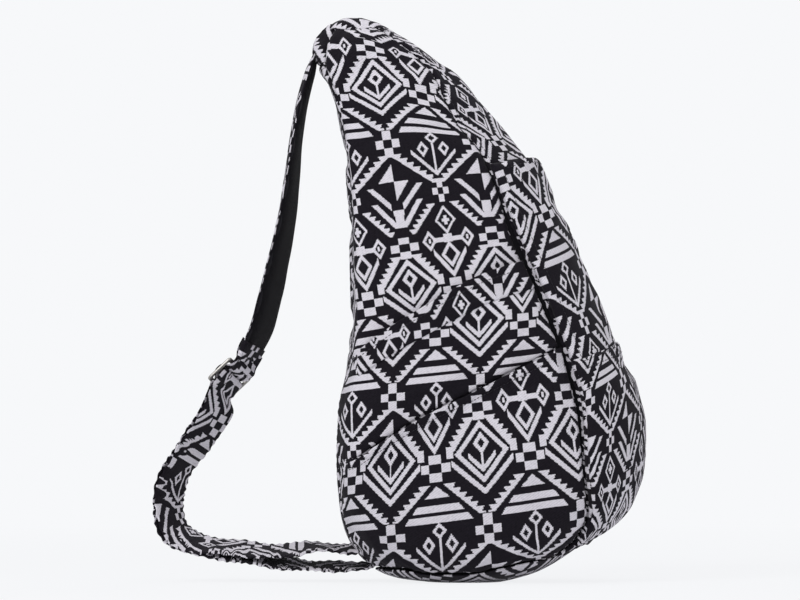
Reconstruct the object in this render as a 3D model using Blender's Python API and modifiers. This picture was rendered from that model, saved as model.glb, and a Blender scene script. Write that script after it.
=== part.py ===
"""Teardrop sling backpack in jacquard, with a padded strap, an adjuster band, a metal slider and a main zip.

Metres, +Z up. +X runs from the strap towards the stuffed front pocket, -Y faces the near broad side.
The origin is the middle of the flat patch that the base rests on.
"""
import math

import bmesh
import bpy
import numpy as np
from mathutils import Matrix, Vector

# Driving dimensions of the body
BAG_HEIGHT = 0.441
BAG_WIDTH = 0.229
BAG_DEPTH = 0.139
# Fabric skins
SKIN = 0.0015
LAYER_GAP = 0.0005
SEAM_GAP = 0.0006
PANEL_LIFT = LAYER_GAP * 1.3
TOUCH_GAP = 0.0003
# Pockets
FRONT_POCKET_DEPTH = 0.0075
FRONT_POUCH_DEPTH = 0.0018
WELT_DROP = 0.020
# Strap
STRAP_WIDTH = 0.055
STRAP_FOAM = 0.006
STRAP_COVER = 0.001
STRAP_REACH = 0.139
BAND_WIDTH = 0.038
BAND_THICKNESS = 0.0012
STRAND_SPREAD = 0.0045
STRAND_SLACK = 0.0004
WEAVE_PLAY = 0.0005
# Metal slider
BAR_WIDTH = 0.0035
BAR_THICKNESS = 0.002
SLOT_LENGTH = 0.007
RAIL_WIDTH = 0.003
SLOT_PLAY = 0.002
# Main zip, on the far seam
ZIP_TAPE = 0.0008
COIL_HEIGHT = 0.0016
ZIP_PLAY = 0.0005
ZIP_BODY_LENGTH = 0.011
ZIP_BODY_WIDTH = 0.0085
ZIP_BODY_HEIGHT = 0.0026
ZIP_BODY_ROUNDING = 0.0008
BAIL_RADIUS = 0.0008
BAIL_REACH = 0.0035
PULL_LENGTH = 0.022
PULL_WIDTH = 0.007
PULL_THICKNESS = 0.0012
PULL_WINDOW = 0.0034
PULL_PLAY = 0.0003

# Outlines of the body as (share of the height, share of the width or depth), read from base to apex
BACK_EDGE = (
    (0.0, -0.150), (0.007, -0.262), (0.018, -0.323), (0.041, -0.384), (0.082, -0.432), (0.125, -0.452),
    (0.21, -0.465), (0.30, -0.458), (0.38, -0.428), (0.47, -0.417), (0.60, -0.419), (0.73, -0.434),
    (0.79, -0.448), (0.84, -0.470), (0.88, -0.496), (0.93, -0.534), (0.953, -0.530), (0.975, -0.511),
    (0.99, -0.482), (1.0, -0.445),
)
FRONT_EDGE = (
    (0.0, 0.087), (0.007, 0.144), (0.018, 0.210), (0.041, 0.290), (0.082, 0.393), (0.125, 0.463),
    (0.17, 0.511), (0.21, 0.532), (0.26, 0.535), (0.34, 0.500), (0.38, 0.467), (0.47, 0.404),
    (0.60, 0.301), (0.68, 0.231), (0.748, 0.172), (0.77, 0.140), (0.855, 0.008), (0.90, -0.067),
    (0.94, -0.162), (0.968, -0.240), (0.985, -0.306), (0.995, -0.360), (1.0, -0.392),
)
SEAM_LINE = (
    (0.0, 0.050), (0.018, 0.157), (0.041, 0.240), (0.082, 0.341), (0.125, 0.376), (0.21, 0.362),
    (0.30, 0.349), (0.38, 0.314), (0.47, 0.253), (0.60, 0.144), (0.73, 0.048), (0.77, 0.010),
    (0.81, -0.055), (0.855, -0.100), (0.90, -0.140), (0.94, -0.215), (0.968, -0.285), (0.985, -0.340),
    (1.0, -0.405),
)
DEEPEST_LINE = (
    (0.0, -0.035), (0.125, -0.009), (0.25, 0.0), (0.38, -0.017), (0.47, -0.052), (0.60, -0.109),
    (0.73, -0.183), (0.84, -0.262), (0.90, -0.328), (0.95, -0.375), (1.0, -0.418),
)
HALF_DEPTH = (
    (0.0, 0.26), (0.007, 0.33), (0.018, 0.39), (0.041, 0.44), (0.082, 0.475), (0.125, 0.489),
    (0.21, 0.5), (0.30, 0.497), (0.38, 0.482), (0.47, 0.460), (0.60, 0.417), (0.73, 0.360),
    (0.84, 0.302), (0.90, 0.245), (0.94, 0.198), (0.968, 0.150), (0.985, 0.101), (1.0, 0.045),
)
# How square the section is towards the strap: 2 is an ellipse, more is squarer
BACK_SQUARENESS = ((0.0, 2.6), (0.05, 3.0), (0.13, 5.0), (0.30, 8.0), (0.5, 10.0), (0.85, 8.0), (0.94, 4.0), (1.0, 2.4))
FRONT_SQUARENESS = 2.5
# Lines sewn round or across the body, as (place round the body, share of the height)
BASE_SEAM = ((0.0, 0.022), (1.0, 0.022), (1.3, 0.014), (1.6, 0.014), (2.0, 0.040), (2.7, 0.061), (3.0, 0.062))
UPPER_MOUTH = ((1.0, 0.402), (1.5, 0.505), (2.0, 0.572))
LOWER_MOUTH = ((1.0, 0.210), (1.5, 0.298), (2.0, 0.402))
POCKET_TOP = ((2.0, 0.742), (2.4, 0.752), (3.0, 0.748))
POUCH_TOP = ((2.0, 0.385), (2.6, 0.425), (3.0, 0.430))
SKIN_TOP = 0.996
SIDE_PANEL_LOW = 0.028
SIDE_PANEL_TOP = 0.92
TAB_TOP = 0.99
TAB_EDGE = 0.08
# Rows up the body and columns round its half: back to corner, corner to seam, seam to front
ROWS = (
    0.0, 0.004, 0.010, 0.018, 0.028, 0.040, 0.055, 0.075, 0.10, 0.13, 0.17, 0.21, 0.255, 0.30, 0.345, 0.39,
    0.435, 0.48, 0.525, 0.57, 0.615, 0.66, 0.70, 0.74, 0.78, 0.82, 0.855, 0.89, 0.92, 0.945, 0.965, 0.98,
    0.99, 0.996, 1.0,
)
COLUMNS = (
    0.0, 0.5, 0.85, 1.0, 1.03, 1.08, 1.16, 1.28, 1.42, 1.56, 1.70, 1.84, 2.0, 2.12, 2.26, 2.42, 2.60, 2.80,
    3.0,
)
BASE_ROWS = 10
ROW_MARGIN = 0.012
ROUND = 6.0
SEAM_AT = 2.0
CORNER_AT = 1.0
FRONT_AT = 3.0
FAR_SEAM_AT = 4.0

# Strap route below its top, as (share of the reach out from the back edge, share of the bag's height)
STRAP_ROUTE = (
    (0.172, 0.915), (0.196, 0.875), (0.223, 0.835), (0.248, 0.780), (0.277, 0.710), (0.313, 0.640),
    (0.357, 0.575), (0.400, 0.515), (0.452, 0.455), (0.500, 0.422),
)
SLIDER_PLACE = (0.622, 0.3615)
BAND_ROUTE = (
    (0.680, 0.325), (0.742, 0.281), (0.835, 0.238), (0.920, 0.196), (0.972, 0.155), (0.972, 0.123),
    (0.925, 0.094), (0.840, 0.075), (0.740, 0.0625), (0.620, 0.055), (0.450, 0.0475), (0.290, 0.0435),
    (0.130, 0.0440),
)
STRAP_TOP = 0.945
UPPER_STRAND_END = 0.058
LOWER_STRAND_END = 0.030
STRAP_TWISTS = ((0.0, 1.0), (0.45, 5.0), (0.8, 14.0), (1.0, 18.0))
SLIDER_TWIST = 28.0
BAND_TWISTS = ((0.0, 28.0), (0.25, 33.0), (0.5, 30.0), (0.62, 18.0), (0.75, 10.0), (0.9, 8.0), (1.0, 0.0))
# The zip's place along the far seam, as shares of the height, and its half widths as places round the body
ZIP_LOW = 0.40
ZIP_HIGH = 0.735
ZIP_REST = 0.700
ZIP_OPEN = 0.560
TAPE_HALF = 0.10
COIL_HALF = 0.022
ZIP_ROOM = 0.14

BLACK = (0.013, 0.012, 0.018, 1.0)
JACQUARD = (0.32, 0.31, 0.34, 1.0)
PEWTER = (0.52, 0.51, 0.50, 1.0)


def smooth(pairs, at):
    """Value of a smooth curve through the pairs, with no overshoot between them."""
    x, y = np.array(pairs, float).T
    step = np.diff(x)
    slope = np.diff(y) / step
    tangent = np.zeros_like(y)
    same = slope[1:] * slope[:-1] > 0
    mean = 2 * slope[1:] * slope[:-1] / np.where(same, slope[1:] + slope[:-1], 1)
    tangent[1:-1] = np.where(same, mean, 0)
    tangent[0], tangent[-1] = slope[0], slope[-1]
    at = np.clip(at, x[0], x[-1])
    i = np.clip(np.searchsorted(x, at) - 1, 0, len(step) - 1)
    t = (at - x[i]) / step[i]
    rise = y[i + 1] - y[i]
    lead = tangent[i] * step[i]
    trail = tangent[i + 1] * step[i]
    return y[i] + t * (lead + t * (3 * rise - 2 * lead - trail + t * (lead + trail - 2 * rise)))


def half_round(around):
    """Place on the near half for a place anywhere round the body, and whether it lies on the far half."""
    around = np.mod(around, ROUND)
    return np.where(around > FRONT_AT, ROUND - around, around), around > FRONT_AT


def body_point(around, up):
    """Points of the stuffed body: two half superellipses a level, square at the strap and round at the front."""
    around, up = np.broadcast_arrays(np.asarray(around, float), np.asarray(up, float))
    place, far = half_round(around)
    middle = BAG_WIDTH * smooth(DEEPEST_LINE, up)
    back = middle - BAG_WIDTH * smooth(BACK_EDGE, up)
    front = BAG_WIDTH * smooth(FRONT_EDGE, up) - middle
    seam = BAG_WIDTH * smooth(SEAM_LINE, up)
    deep = BAG_DEPTH * smooth(HALF_DEPTH, up)
    square = smooth(BACK_SQUARENESS, up)
    corner = 0.5 ** (1 / square)
    side = np.clip(place, 0, CORNER_AT)
    x_side = middle - back * (1 - (side * corner) ** square) ** (1 / square)
    x_face = middle - back * corner + (seam - middle + back * corner) * np.clip(place - CORNER_AT, 0, 1) ** 1.1
    reach = np.where(x_face < middle, (middle - x_face) / back, (x_face - middle) / front)
    power = np.where(x_face < middle, square, FRONT_SQUARENESS)
    y_face = (1 - np.clip(reach, 0, 1) ** power) ** (1 / power)
    seam_turn = np.arccos(np.clip((seam - middle) / front, 0, 1) ** (FRONT_SQUARENESS / 2))
    turn = seam_turn * np.clip(FRONT_AT - place, 0, 1) ** 1.3
    x_front = middle + front * np.cos(turn) ** (2 / FRONT_SQUARENESS)
    y_front = np.sin(turn) ** (2 / FRONT_SQUARENESS)
    x = np.where(place < CORNER_AT, x_side, np.where(place < SEAM_AT, x_face, x_front))
    y = np.where(place < CORNER_AT, side * corner, np.where(place < SEAM_AT, y_face, y_front))
    floor = SKIN + LAYER_GAP
    return np.stack([x, np.where(far, 1, -1) * deep * y, floor + up * (BAG_HEIGHT - 2 * floor)], -1)


def body_normal(around, up):
    """Outward unit normals of the stuffed body."""
    nudge = 1e-3
    low, high = np.clip(up - nudge, 0, 1), np.clip(up + nudge, 0, 1)
    along = body_point(around + nudge, up) - body_point(around - nudge, up)
    upward = body_point(around, high) - body_point(around, low)
    normal = np.cross(along, upward)
    return normal / np.linalg.norm(normal, axis=-1, keepdims=True)


def raised(around, up, lift):
    """Points that stand off the body by the lift."""
    return body_point(around, up) + np.asarray(lift)[..., None] * body_normal(around, up)


def line_height(line, around):
    """Share of the height of a sewn line at a place round the body."""
    return smooth(line, half_round(around)[0])


def between(lines, low, high):
    """The lines from low to high, with both ends."""
    return np.array([low] + [v for v in lines if low + 1e-3 < v < high - 1e-3] + [high])


def all_columns():
    """The columns round the whole body, once each."""
    near = list(COLUMNS)
    return np.array(near + [ROUND - v for v in reversed(near[1:-1])])


def finish(name, colour, roughness, metallic=0.0):
    """The Principled material of one piece."""
    made = bpy.data.materials.new(name)
    made.use_nodes = True
    shader = made.node_tree.nodes["Principled BSDF"]
    shader.inputs["Base Color"].default_value = colour
    shader.inputs["Roughness"].default_value = roughness
    shader.inputs["Metallic"].default_value = metallic
    made.diffuse_color = colour
    return made


def add_object(name, points, faces, material):
    """A mesh object of the bag's collection."""
    mesh = bpy.data.meshes.new(name)
    mesh.from_pydata([tuple(map(float, p)) for p in points], [], faces)
    mesh.materials.append(material)
    mesh.shade_smooth()
    piece = bpy.data.objects.new(name, mesh)
    parts.objects.link(piece)
    return piece


def grid_faces(rows, columns, closed=False):
    """Quads of a grid that runs round by columns and up by rows."""
    wrap = columns if closed else columns - 1
    return [
        (r * columns + c, r * columns + (c + 1) % columns, (r + 1) * columns + (c + 1) % columns, (r + 1) * columns + c)
        for r in range(rows - 1)
        for c in range(wrap)
    ]


def thicken(piece, thickness, offset=1.0, weights=None):
    """Gives an open sheet its thickness, outwards for offset 1, with weights as shares of it."""
    wall = piece.modifiers.new("wall", "SOLIDIFY")
    wall.thickness = thickness
    wall.offset = offset
    if weights is not None:
        group = piece.vertex_groups.new(name="fullness")
        for index, weight in enumerate(np.ravel(weights)):
            group.add([index], float(weight), "REPLACE")
        wall.vertex_group = group.name
        wall.thickness_vertex_group = 0.0


def rows_between(low, high, joins):
    """Heights of a patch's rows: the body's own rows where they fit, and evened-out ones near both sewn lines."""
    inner = [row for row in ROWS if low.max() + ROW_MARGIN < row < high.min() - ROW_MARGIN]
    if len(inner) < 2:
        return low + (high - low) * np.linspace(0, 1, 3 * joins)[:, None]
    steps = np.arange(joins)[:, None] / joins
    below = low + (inner[0] - low) * steps
    above = high - (high - inner[-1]) * steps[::-1]
    return np.concatenate([below, np.array(inner)[:, None] + 0 * low, above])


def patch(name, columns, low, high, joins, lift, thickness, material, fullness=None):
    """A skin on the body between two sewn lines, with its fullness as a function of the two shares across it.

    The lift off the body is a distance, or a function of the place round the body and the share of the height.
    """
    up = rows_between(low, high, joins)
    places = np.broadcast_to(columns, up.shape)
    points = raised(places, up, lift(places, up) if callable(lift) else lift).reshape(-1, 3)
    piece = add_object(name, points, grid_faces(*up.shape), material)
    weights = None
    if fullness:
        sideways = (columns - columns[0]) / (columns[-1] - columns[0])
        weights = fullness(sideways[None, :], (up - low) / (high - low))
    thicken(piece, thickness, weights=weights)
    return piece


def build_body():
    """The lined, stuffed body as one closed loft, and the skins sewn round it."""
    columns, rows = all_columns(), np.array(ROWS)
    around, up = np.meshgrid(columns, rows)
    points = body_point(around, up).reshape(-1, 3)
    count = len(columns)
    faces = grid_faces(len(rows), count, closed=True)
    top = (len(rows) - 1) * count
    faces += [tuple(reversed(range(count))), tuple(range(top, top + count))]
    add_object("stuffed_body", points, faces, finish("lining", BLACK, 0.9))
    jacquard = finish("jacquard", JACQUARD, 0.85)
    edge = SEAM_GAP / (BAG_WIDTH / 2)
    near = between(COLUMNS, CORNER_AT + edge, SEAM_AT - edge)
    front = between(all_columns(), SEAM_AT + edge, ROUND - SEAM_AT - edge)
    side = between(np.array([-v for v in COLUMNS[::-1]] + list(COLUMNS[1:])), edge - CORNER_AT, CORNER_AT - edge)
    for name, place in (("near_panel", near), ("far_panel", np.sort(ROUND - near)), ("front_gusset", front)):
        patch(name, place, line_height(BASE_SEAM, place), SKIN_TOP + 0 * place, 4, LAYER_GAP, SKIN, jacquard)
    low, high = SIDE_PANEL_LOW + 0 * side, SIDE_PANEL_TOP + 0 * side
    patch("side_panel", side, low, high, 2, PANEL_LIFT, SKIN, jacquard)
    tab = between(side, TAB_EDGE - CORNER_AT, CORNER_AT - TAB_EDGE)
    tab_low = SIDE_PANEL_TOP + 2 * SEAM_GAP / BAG_HEIGHT + 0 * tab
    patch("apex_tab", tab, tab_low, TAB_TOP + 0 * tab, 2, PANEL_LIFT, SKIN, jacquard)
    return jacquard


def build_base(jacquard):
    """The base panel: a shallow bowl under the body, flat where it rests."""
    columns = all_columns()
    seam = line_height(BASE_SEAM, columns) - 2 * SEAM_GAP / BAG_HEIGHT
    rim = raised(columns, 0 * columns, LAYER_GAP)
    centre = rim.mean(axis=0)
    rows = []
    for share in (0.5, 0.93):
        ring = centre + (rim - centre) * share
        ring[:, 2] = SKIN
        rows.append(ring)
    for share in np.linspace(0, 1, BASE_ROWS) ** 1.5:
        rows.append(raised(columns, seam * share, PANEL_LIFT))
    count = len(columns)
    faces = grid_faces(len(rows), count, closed=True) + [tuple(reversed(range(count)))]
    thicken(add_object("base_panel", np.concatenate(rows), faces, jacquard), SKIN)


def build_pockets(jacquard):
    """Slip pockets on the near face, and the stuffed front pocket with its pouch round the front."""
    edge = 3 * SEAM_GAP / BAG_WIDTH
    on_panel = 2 * LAYER_GAP + SKIN
    near = between(COLUMNS, COLUMNS[4], SEAM_AT - 2 * edge)
    upper_low = line_height(LOWER_MOUTH, near) + 0.004
    upper_high = line_height(UPPER_MOUTH, near)
    patch("upper_slip_pocket", near, upper_low, upper_high, 4, on_panel, SKIN, jacquard)
    base = line_height(BASE_SEAM, near) + 0.004
    lower_high = line_height(LOWER_MOUTH, near)
    patch("lower_slip_pocket", near, base, lower_high, 4, on_panel, SKIN, jacquard)
    welt_low = upper_high - WELT_DROP / BAG_HEIGHT
    patch("pocket_welt", near, welt_low, upper_high, 1, on_panel + SKIN + LAYER_GAP, SKIN, jacquard)
    front = between(all_columns(), SEAM_AT + edge, FAR_SEAM_AT - ZIP_ROOM)
    pocket_base = line_height(BASE_SEAM, front) + 0.006
    pocket_top = line_height(POCKET_TOP, front)

    def stuffed(sideways, upward):
        """Full in the middle and at the folded side edges, thinner at the base."""
        rise = np.clip(upward / 0.12, 0, 1) * 0.5 + 0.5
        return (0.72 + 0.28 * np.sin(math.pi * sideways) ** 0.5) * rise

    patch("front_pocket", front, pocket_base, pocket_top, 4, on_panel, FRONT_POCKET_DEPTH, jacquard, stuffed)

    def on_pocket(places, up):
        """How far the front pocket's outer face stands off the body."""
        low, high = line_height(BASE_SEAM, places) + 0.006, line_height(POCKET_TOP, places)
        sideways = (places - front[0]) / (front[-1] - front[0])
        return on_panel + FRONT_POCKET_DEPTH * stuffed(sideways, (up - low) / (high - low)) + LAYER_GAP

    inner = between(all_columns(), SEAM_AT + 5 * edge, FAR_SEAM_AT - ZIP_ROOM - 5 * edge)
    pouch_base = line_height(BASE_SEAM, inner) + 0.03
    pouch_top = line_height(POUCH_TOP, inner)
    patch("front_pouch", inner, pouch_base, pouch_top, 3, on_pocket, FRONT_POUCH_DEPTH, jacquard)


def route_point(reach, up):
    """A point of the strap's route, out from the back edge."""
    back = BAG_WIDTH * float(smooth(BACK_EDGE, 0.21))
    return Vector((back - reach * STRAP_REACH, 0.0, up * BAG_HEIGHT))


def sampled(points, spacing):
    """Points a set distance apart on a smooth curve through the given points."""
    given = np.array(points, float)
    chord = np.concatenate([[0], np.cumsum(np.linalg.norm(np.diff(given, axis=0), axis=1))])
    padded = np.vstack([2 * given[0] - given[1], given, 2 * given[-1] - given[-2]])
    fine = []
    for i in range(len(given) - 1):
        a, b, c, d = padded[i : i + 4]
        t = np.linspace(0, 1, 12, endpoint=i == len(given) - 2)[:, None]
        fine.append(0.5 * (2 * b + (c - a) * t + (2 * a - 5 * b + 4 * c - d) * t**2 + (3 * b - a - 3 * c + d) * t**3))
    fine = np.concatenate(fine)
    chord = np.concatenate([[0], np.cumsum(np.linalg.norm(np.diff(fine, axis=0), axis=1))])
    at = np.linspace(0, chord[-1], max(4, round(chord[-1] / spacing) + 1))
    return np.stack([np.interp(at, chord, fine[:, k]) for k in range(3)], 1), at / chord[-1]


def frames_along(centre, twist):
    """Width and thickness directions along a route, turned about it by the twist in degrees."""
    along = np.gradient(centre, axis=0)
    along /= np.linalg.norm(along, axis=1, keepdims=True)
    inward = np.cross(along, (0, 1, 0))
    inward /= np.linalg.norm(inward, axis=1, keepdims=True)
    turn = np.radians(twist)[:, None]
    wide = np.cos(turn) * np.array((0.0, 1.0, 0.0)) + np.sin(turn) * inward
    return wide, np.cos(turn) * inward - np.sin(turn) * np.array((0.0, 1.0, 0.0))


def ribbon(name, centre, wide, width, thickness, material, across=3):
    """A flat band along a centre line."""
    spread = np.linspace(-0.5, 0.5, across)
    width = np.broadcast_to(width, len(centre))
    points = centre[:, None] + wide[:, None] * spread[None, :, None] * width[:, None, None]
    piece = add_object(name, points.reshape(-1, 3), grid_faces(len(centre), across), material)
    thicken(piece, thickness, offset=0.0)
    return piece


def slider_frame():
    """Centre of the slider, and its directions along the band, across it and inwards."""
    centre = route_point(*SLIDER_PLACE)
    along = (route_point(*BAND_ROUTE[0]) - route_point(*STRAP_ROUTE[-1])).normalized()
    inward = along.cross(Vector((0, 1, 0))).normalized()
    turn = math.radians(SLIDER_TWIST)
    wide = math.cos(turn) * Vector((0, 1, 0)) + math.sin(turn) * inward
    return centre, along, wide, math.cos(turn) * inward - math.sin(turn) * Vector((0, 1, 0))


def build_strap(jacquard):
    """The padded strap: patterned cover outside, foam, and black lining towards the bag."""
    half_stack = STRAP_FOAM / 2 + TOUCH_GAP + STRAP_COVER
    start = Vector(raised(0.0, STRAP_TOP, PANEL_LIFT + SKIN + TOUCH_GAP + half_stack))
    points = [start] + [route_point(*p) for p in STRAP_ROUTE]
    centre, share = sampled(points, 0.014)
    wide, inward = frames_along(centre, smooth(STRAP_TWISTS, share))
    width = STRAP_WIDTH * smooth(((0.0, 0.62), (0.12, 0.9), (0.3, 1.0), (0.85, 1.0), (1.0, 0.78)), share)
    step = (STRAP_FOAM + STRAP_COVER) / 2 + TOUCH_GAP
    black = finish("strap_lining", BLACK, 0.8)
    ribbon("strap_foam", centre, wide, width - 2 * STRAP_COVER, STRAP_FOAM, black)
    ribbon("strap_cover", centre - inward * step, wide, width, STRAP_COVER, jacquard)
    ribbon("strap_lining", centre + inward * step, wide, width, STRAP_COVER, black)
    return Vector(centre[-1])


def local_route(weave, frame):
    """Points given along the band and outwards from the slider's middle."""
    centre, along, _, inward = frame
    return [centre + along * u - inward * v for u, v in weave]


def build_band(jacquard, strap_end):
    """Two strands of one band: the outer one from the strap through the slider, the inner one from its middle bar."""
    frame = slider_frame()
    bar, layer = BAR_WIDTH / 2, BAND_THICKNESS + TOUCH_GAP
    under = BAR_THICKNESS / 2 + WEAVE_PLAY + BAND_THICKNESS / 2
    slot_end = bar + SLOT_LENGTH
    outer_bar = slot_end + bar
    hump = under + layer + STRAND_SLACK / 2
    climb = [
        (-outer_bar - 3 * bar, -under * 0.8), (-outer_bar - bar, -under), (-outer_bar, -under),
        (-slot_end + TOUCH_GAP, -under), (-SLOT_LENGTH * 0.75, BAND_THICKNESS * 0.7), (-SLOT_LENGTH * 0.48, hump * 0.82),
        (-bar, hump),
    ]
    over = climb + [(0.0, hump + STRAND_SLACK / 4)] + [(-u, v) for u, v in reversed(climb[1:])]
    over.append((outer_bar + 3 * bar, -under))
    run_in = [frame[0] - frame[1] * 0.016, frame[0], frame[0] + frame[1] * 0.016]
    line, share = sampled(run_in + [route_point(*p) for p in BAND_ROUTE[1:]], 0.004)
    wide_line, inward_line = frames_along(line, smooth(BAND_TWISTS, share))
    half_gap = layer / 2 + STRAND_SLACK
    parting = half_gap + (STRAND_SPREAD - half_gap) * np.clip((share - 0.62) / 0.38, 0, 1) ** 1.3
    free = np.nonzero(np.linalg.norm(line - np.array(frame[0]), axis=1) > 0.034)[0][::4]
    free = free[free > len(line) // 8]

    def strand(name, start, side, end_up):
        """One strand: its own start through the slider, then the shared route, moved to its side, to the bag."""
        run = [Vector(p) for p in line[free] + inward_line[free] * (side * parting[free])[:, None]]
        run.append(Vector(raised(0.0, end_up, PANEL_LIFT + SKIN + TOUCH_GAP + BAND_THICKNESS)))
        centre, _ = sampled(start + run, 0.0011)
        keep = thinned(centre)
        nearest = np.argmin(np.linalg.norm(centre[keep][:, None] - line[None], axis=2), axis=1)
        away = np.linalg.norm(centre[keep] - np.array(frame[0]), axis=1)[:, None]
        ease = np.clip(away / (2 * outer_bar) - 0.6, 0, 1)
        wide = wide_line[nearest] * ease + np.array(frame[2]) * (1 - ease)
        wide /= np.linalg.norm(wide, axis=1, keepdims=True)
        return ribbon(name, centre[keep], wide, BAND_WIDTH, BAND_THICKNESS, jacquard)

    hook_in = strap_end + (frame[0] - strap_end).normalized() * 4 * TOUCH_GAP
    strand("band_outer_strand", [hook_in] + local_route(over, frame), -1.0, LOWER_STRAND_END)
    turn_back = -bar - under * 0.8
    low = -under - layer - STRAND_SLACK
    hook = [
        (bar * 0.7, under), (0.0, under), (-bar * 1.1, under), (turn_back, under * 0.6), (turn_back, 0.0),
        (turn_back, -under * 0.6), (-bar * 1.1, -under), (0.0, -under - TOUCH_GAP / 2),
        (SLOT_LENGTH * 0.45, -under - 0.35 * layer), (SLOT_LENGTH * 0.85, -under - 0.8 * layer),
        (slot_end, low), (outer_bar, low), (outer_bar + 3 * bar, low),
    ]
    strand("band_inner_strand", local_route(hook, frame), 1.0, UPPER_STRAND_END)
    return frame


def thinned(centre):
    """Indices of the stations to keep: all near the slider's bends, one in three on the long gentle runs."""
    along = np.gradient(centre, axis=0)
    along /= np.linalg.norm(along, axis=1, keepdims=True)
    bend = np.linalg.norm(np.gradient(along, axis=0), axis=1)
    near_bend = np.convolve(bend > 0.04, np.ones(3), "same") > 0
    keep = near_bend | (np.arange(len(centre)) % 9 == 0)
    keep[[0, -1]] = True
    return np.nonzero(keep)[0]


def rounded_outline(spline, half_x, half_y, radius, shift=0.0):
    """Fills an outline with a rounded rectangle of short arcs, moved along X by the shift."""
    points = []
    for corner, (sx, sy) in enumerate(((1, 1), (-1, 1), (-1, -1), (1, -1))):
        for step in range(4):
            angle = math.pi / 2 * (corner + step / 3)
            x, y = sx * (half_x - radius) + radius * math.cos(angle), sy * (half_y - radius) + radius * math.sin(angle)
            points.append((shift + x, y))
    spline.points.add(len(points) - 1)
    for point, (x, y) in zip(spline.points, points):
        point.co = (x, y, 0.0, 1.0)
    spline.use_cyclic_u = True


def build_slider(frame):
    """The metal three-bar slider: a flat plate with two slots."""
    centre, along, wide, inward = frame
    outline = bpy.data.curves.new("strap_slider", "CURVE")
    outline.dimensions = "2D"
    outline.fill_mode = "BOTH"
    outline.extrude = BAR_THICKNESS / 2
    half_slot = (BAND_WIDTH + SLOT_PLAY) / 2
    half_length = BAR_WIDTH * 1.5 + SLOT_LENGTH
    rounded_outline(outline.splines.new("POLY"), half_length, half_slot + RAIL_WIDTH, 0.003)
    for side in (-1, 1):
        slot = outline.splines.new("POLY")
        rounded_outline(slot, SLOT_LENGTH / 2, half_slot, 0.0012, side * (BAR_WIDTH + SLOT_LENGTH) / 2)
    piece = bpy.data.objects.new("strap_slider", outline)
    outline.materials.append(finish("pewter", PEWTER, 0.35, 1.0))
    parts.objects.link(piece)
    piece.matrix_world = Matrix.Translation(centre) @ Matrix((along, wide, -inward)).transposed().to_4x4()


def zip_frame(up, lift):
    """Place on the far seam, and its directions up the zip, across it and outwards."""
    low, place, high = raised(FAR_SEAM_AT, np.array([up - 0.004, up, up + 0.004]), lift)
    outward = Vector(body_normal(FAR_SEAM_AT, np.array(up)))
    along = Vector(high - low).normalized()
    outward = (outward - along * outward.dot(along)).normalized()
    return Vector(place), along, outward.cross(along), outward


def zip_lift():
    """How far the underside of the zip's slider stands off the body."""
    return 2 * LAYER_GAP + SKIN + TOUCH_GAP + ZIP_TAPE + COIL_HEIGHT + ZIP_PLAY


def zip_motion():
    """Centre, axis and travel in degrees of the arc that the zip's slider follows down the seam."""
    rest, half, low = (Vector(p) for p in raised(FAR_SEAM_AT, np.linspace(ZIP_REST, ZIP_OPEN, 3), zip_lift()))
    a, b = half - rest, low - rest
    axis = a.cross(b)
    centre = rest + (axis.cross(a) * b.length_squared + b.cross(axis) * a.length_squared) / (2 * axis.length_squared)
    travel = (rest - centre).angle(low - centre)
    return centre, axis.normalized(), math.degrees(travel)


def pull_pivot():
    """Where the pull turns, and its axis across the zip."""
    place, along, across, outward = zip_frame(ZIP_REST, zip_lift())
    return place + outward * pin_height() - along * BAIL_REACH * 0.4, across


def pin_height():
    """Height of the pull's end bar over the underside of the zip's slider."""
    return ZIP_BODY_HEIGHT + PULL_PLAY + 0.7 * PULL_THICKNESS


def placed(piece, place, along, across, outward):
    """Moves a piece made in the zip's own directions to its place."""
    piece.matrix_world = Matrix.Translation(place) @ Matrix((along, across, outward)).transposed().to_4x4()


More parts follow.
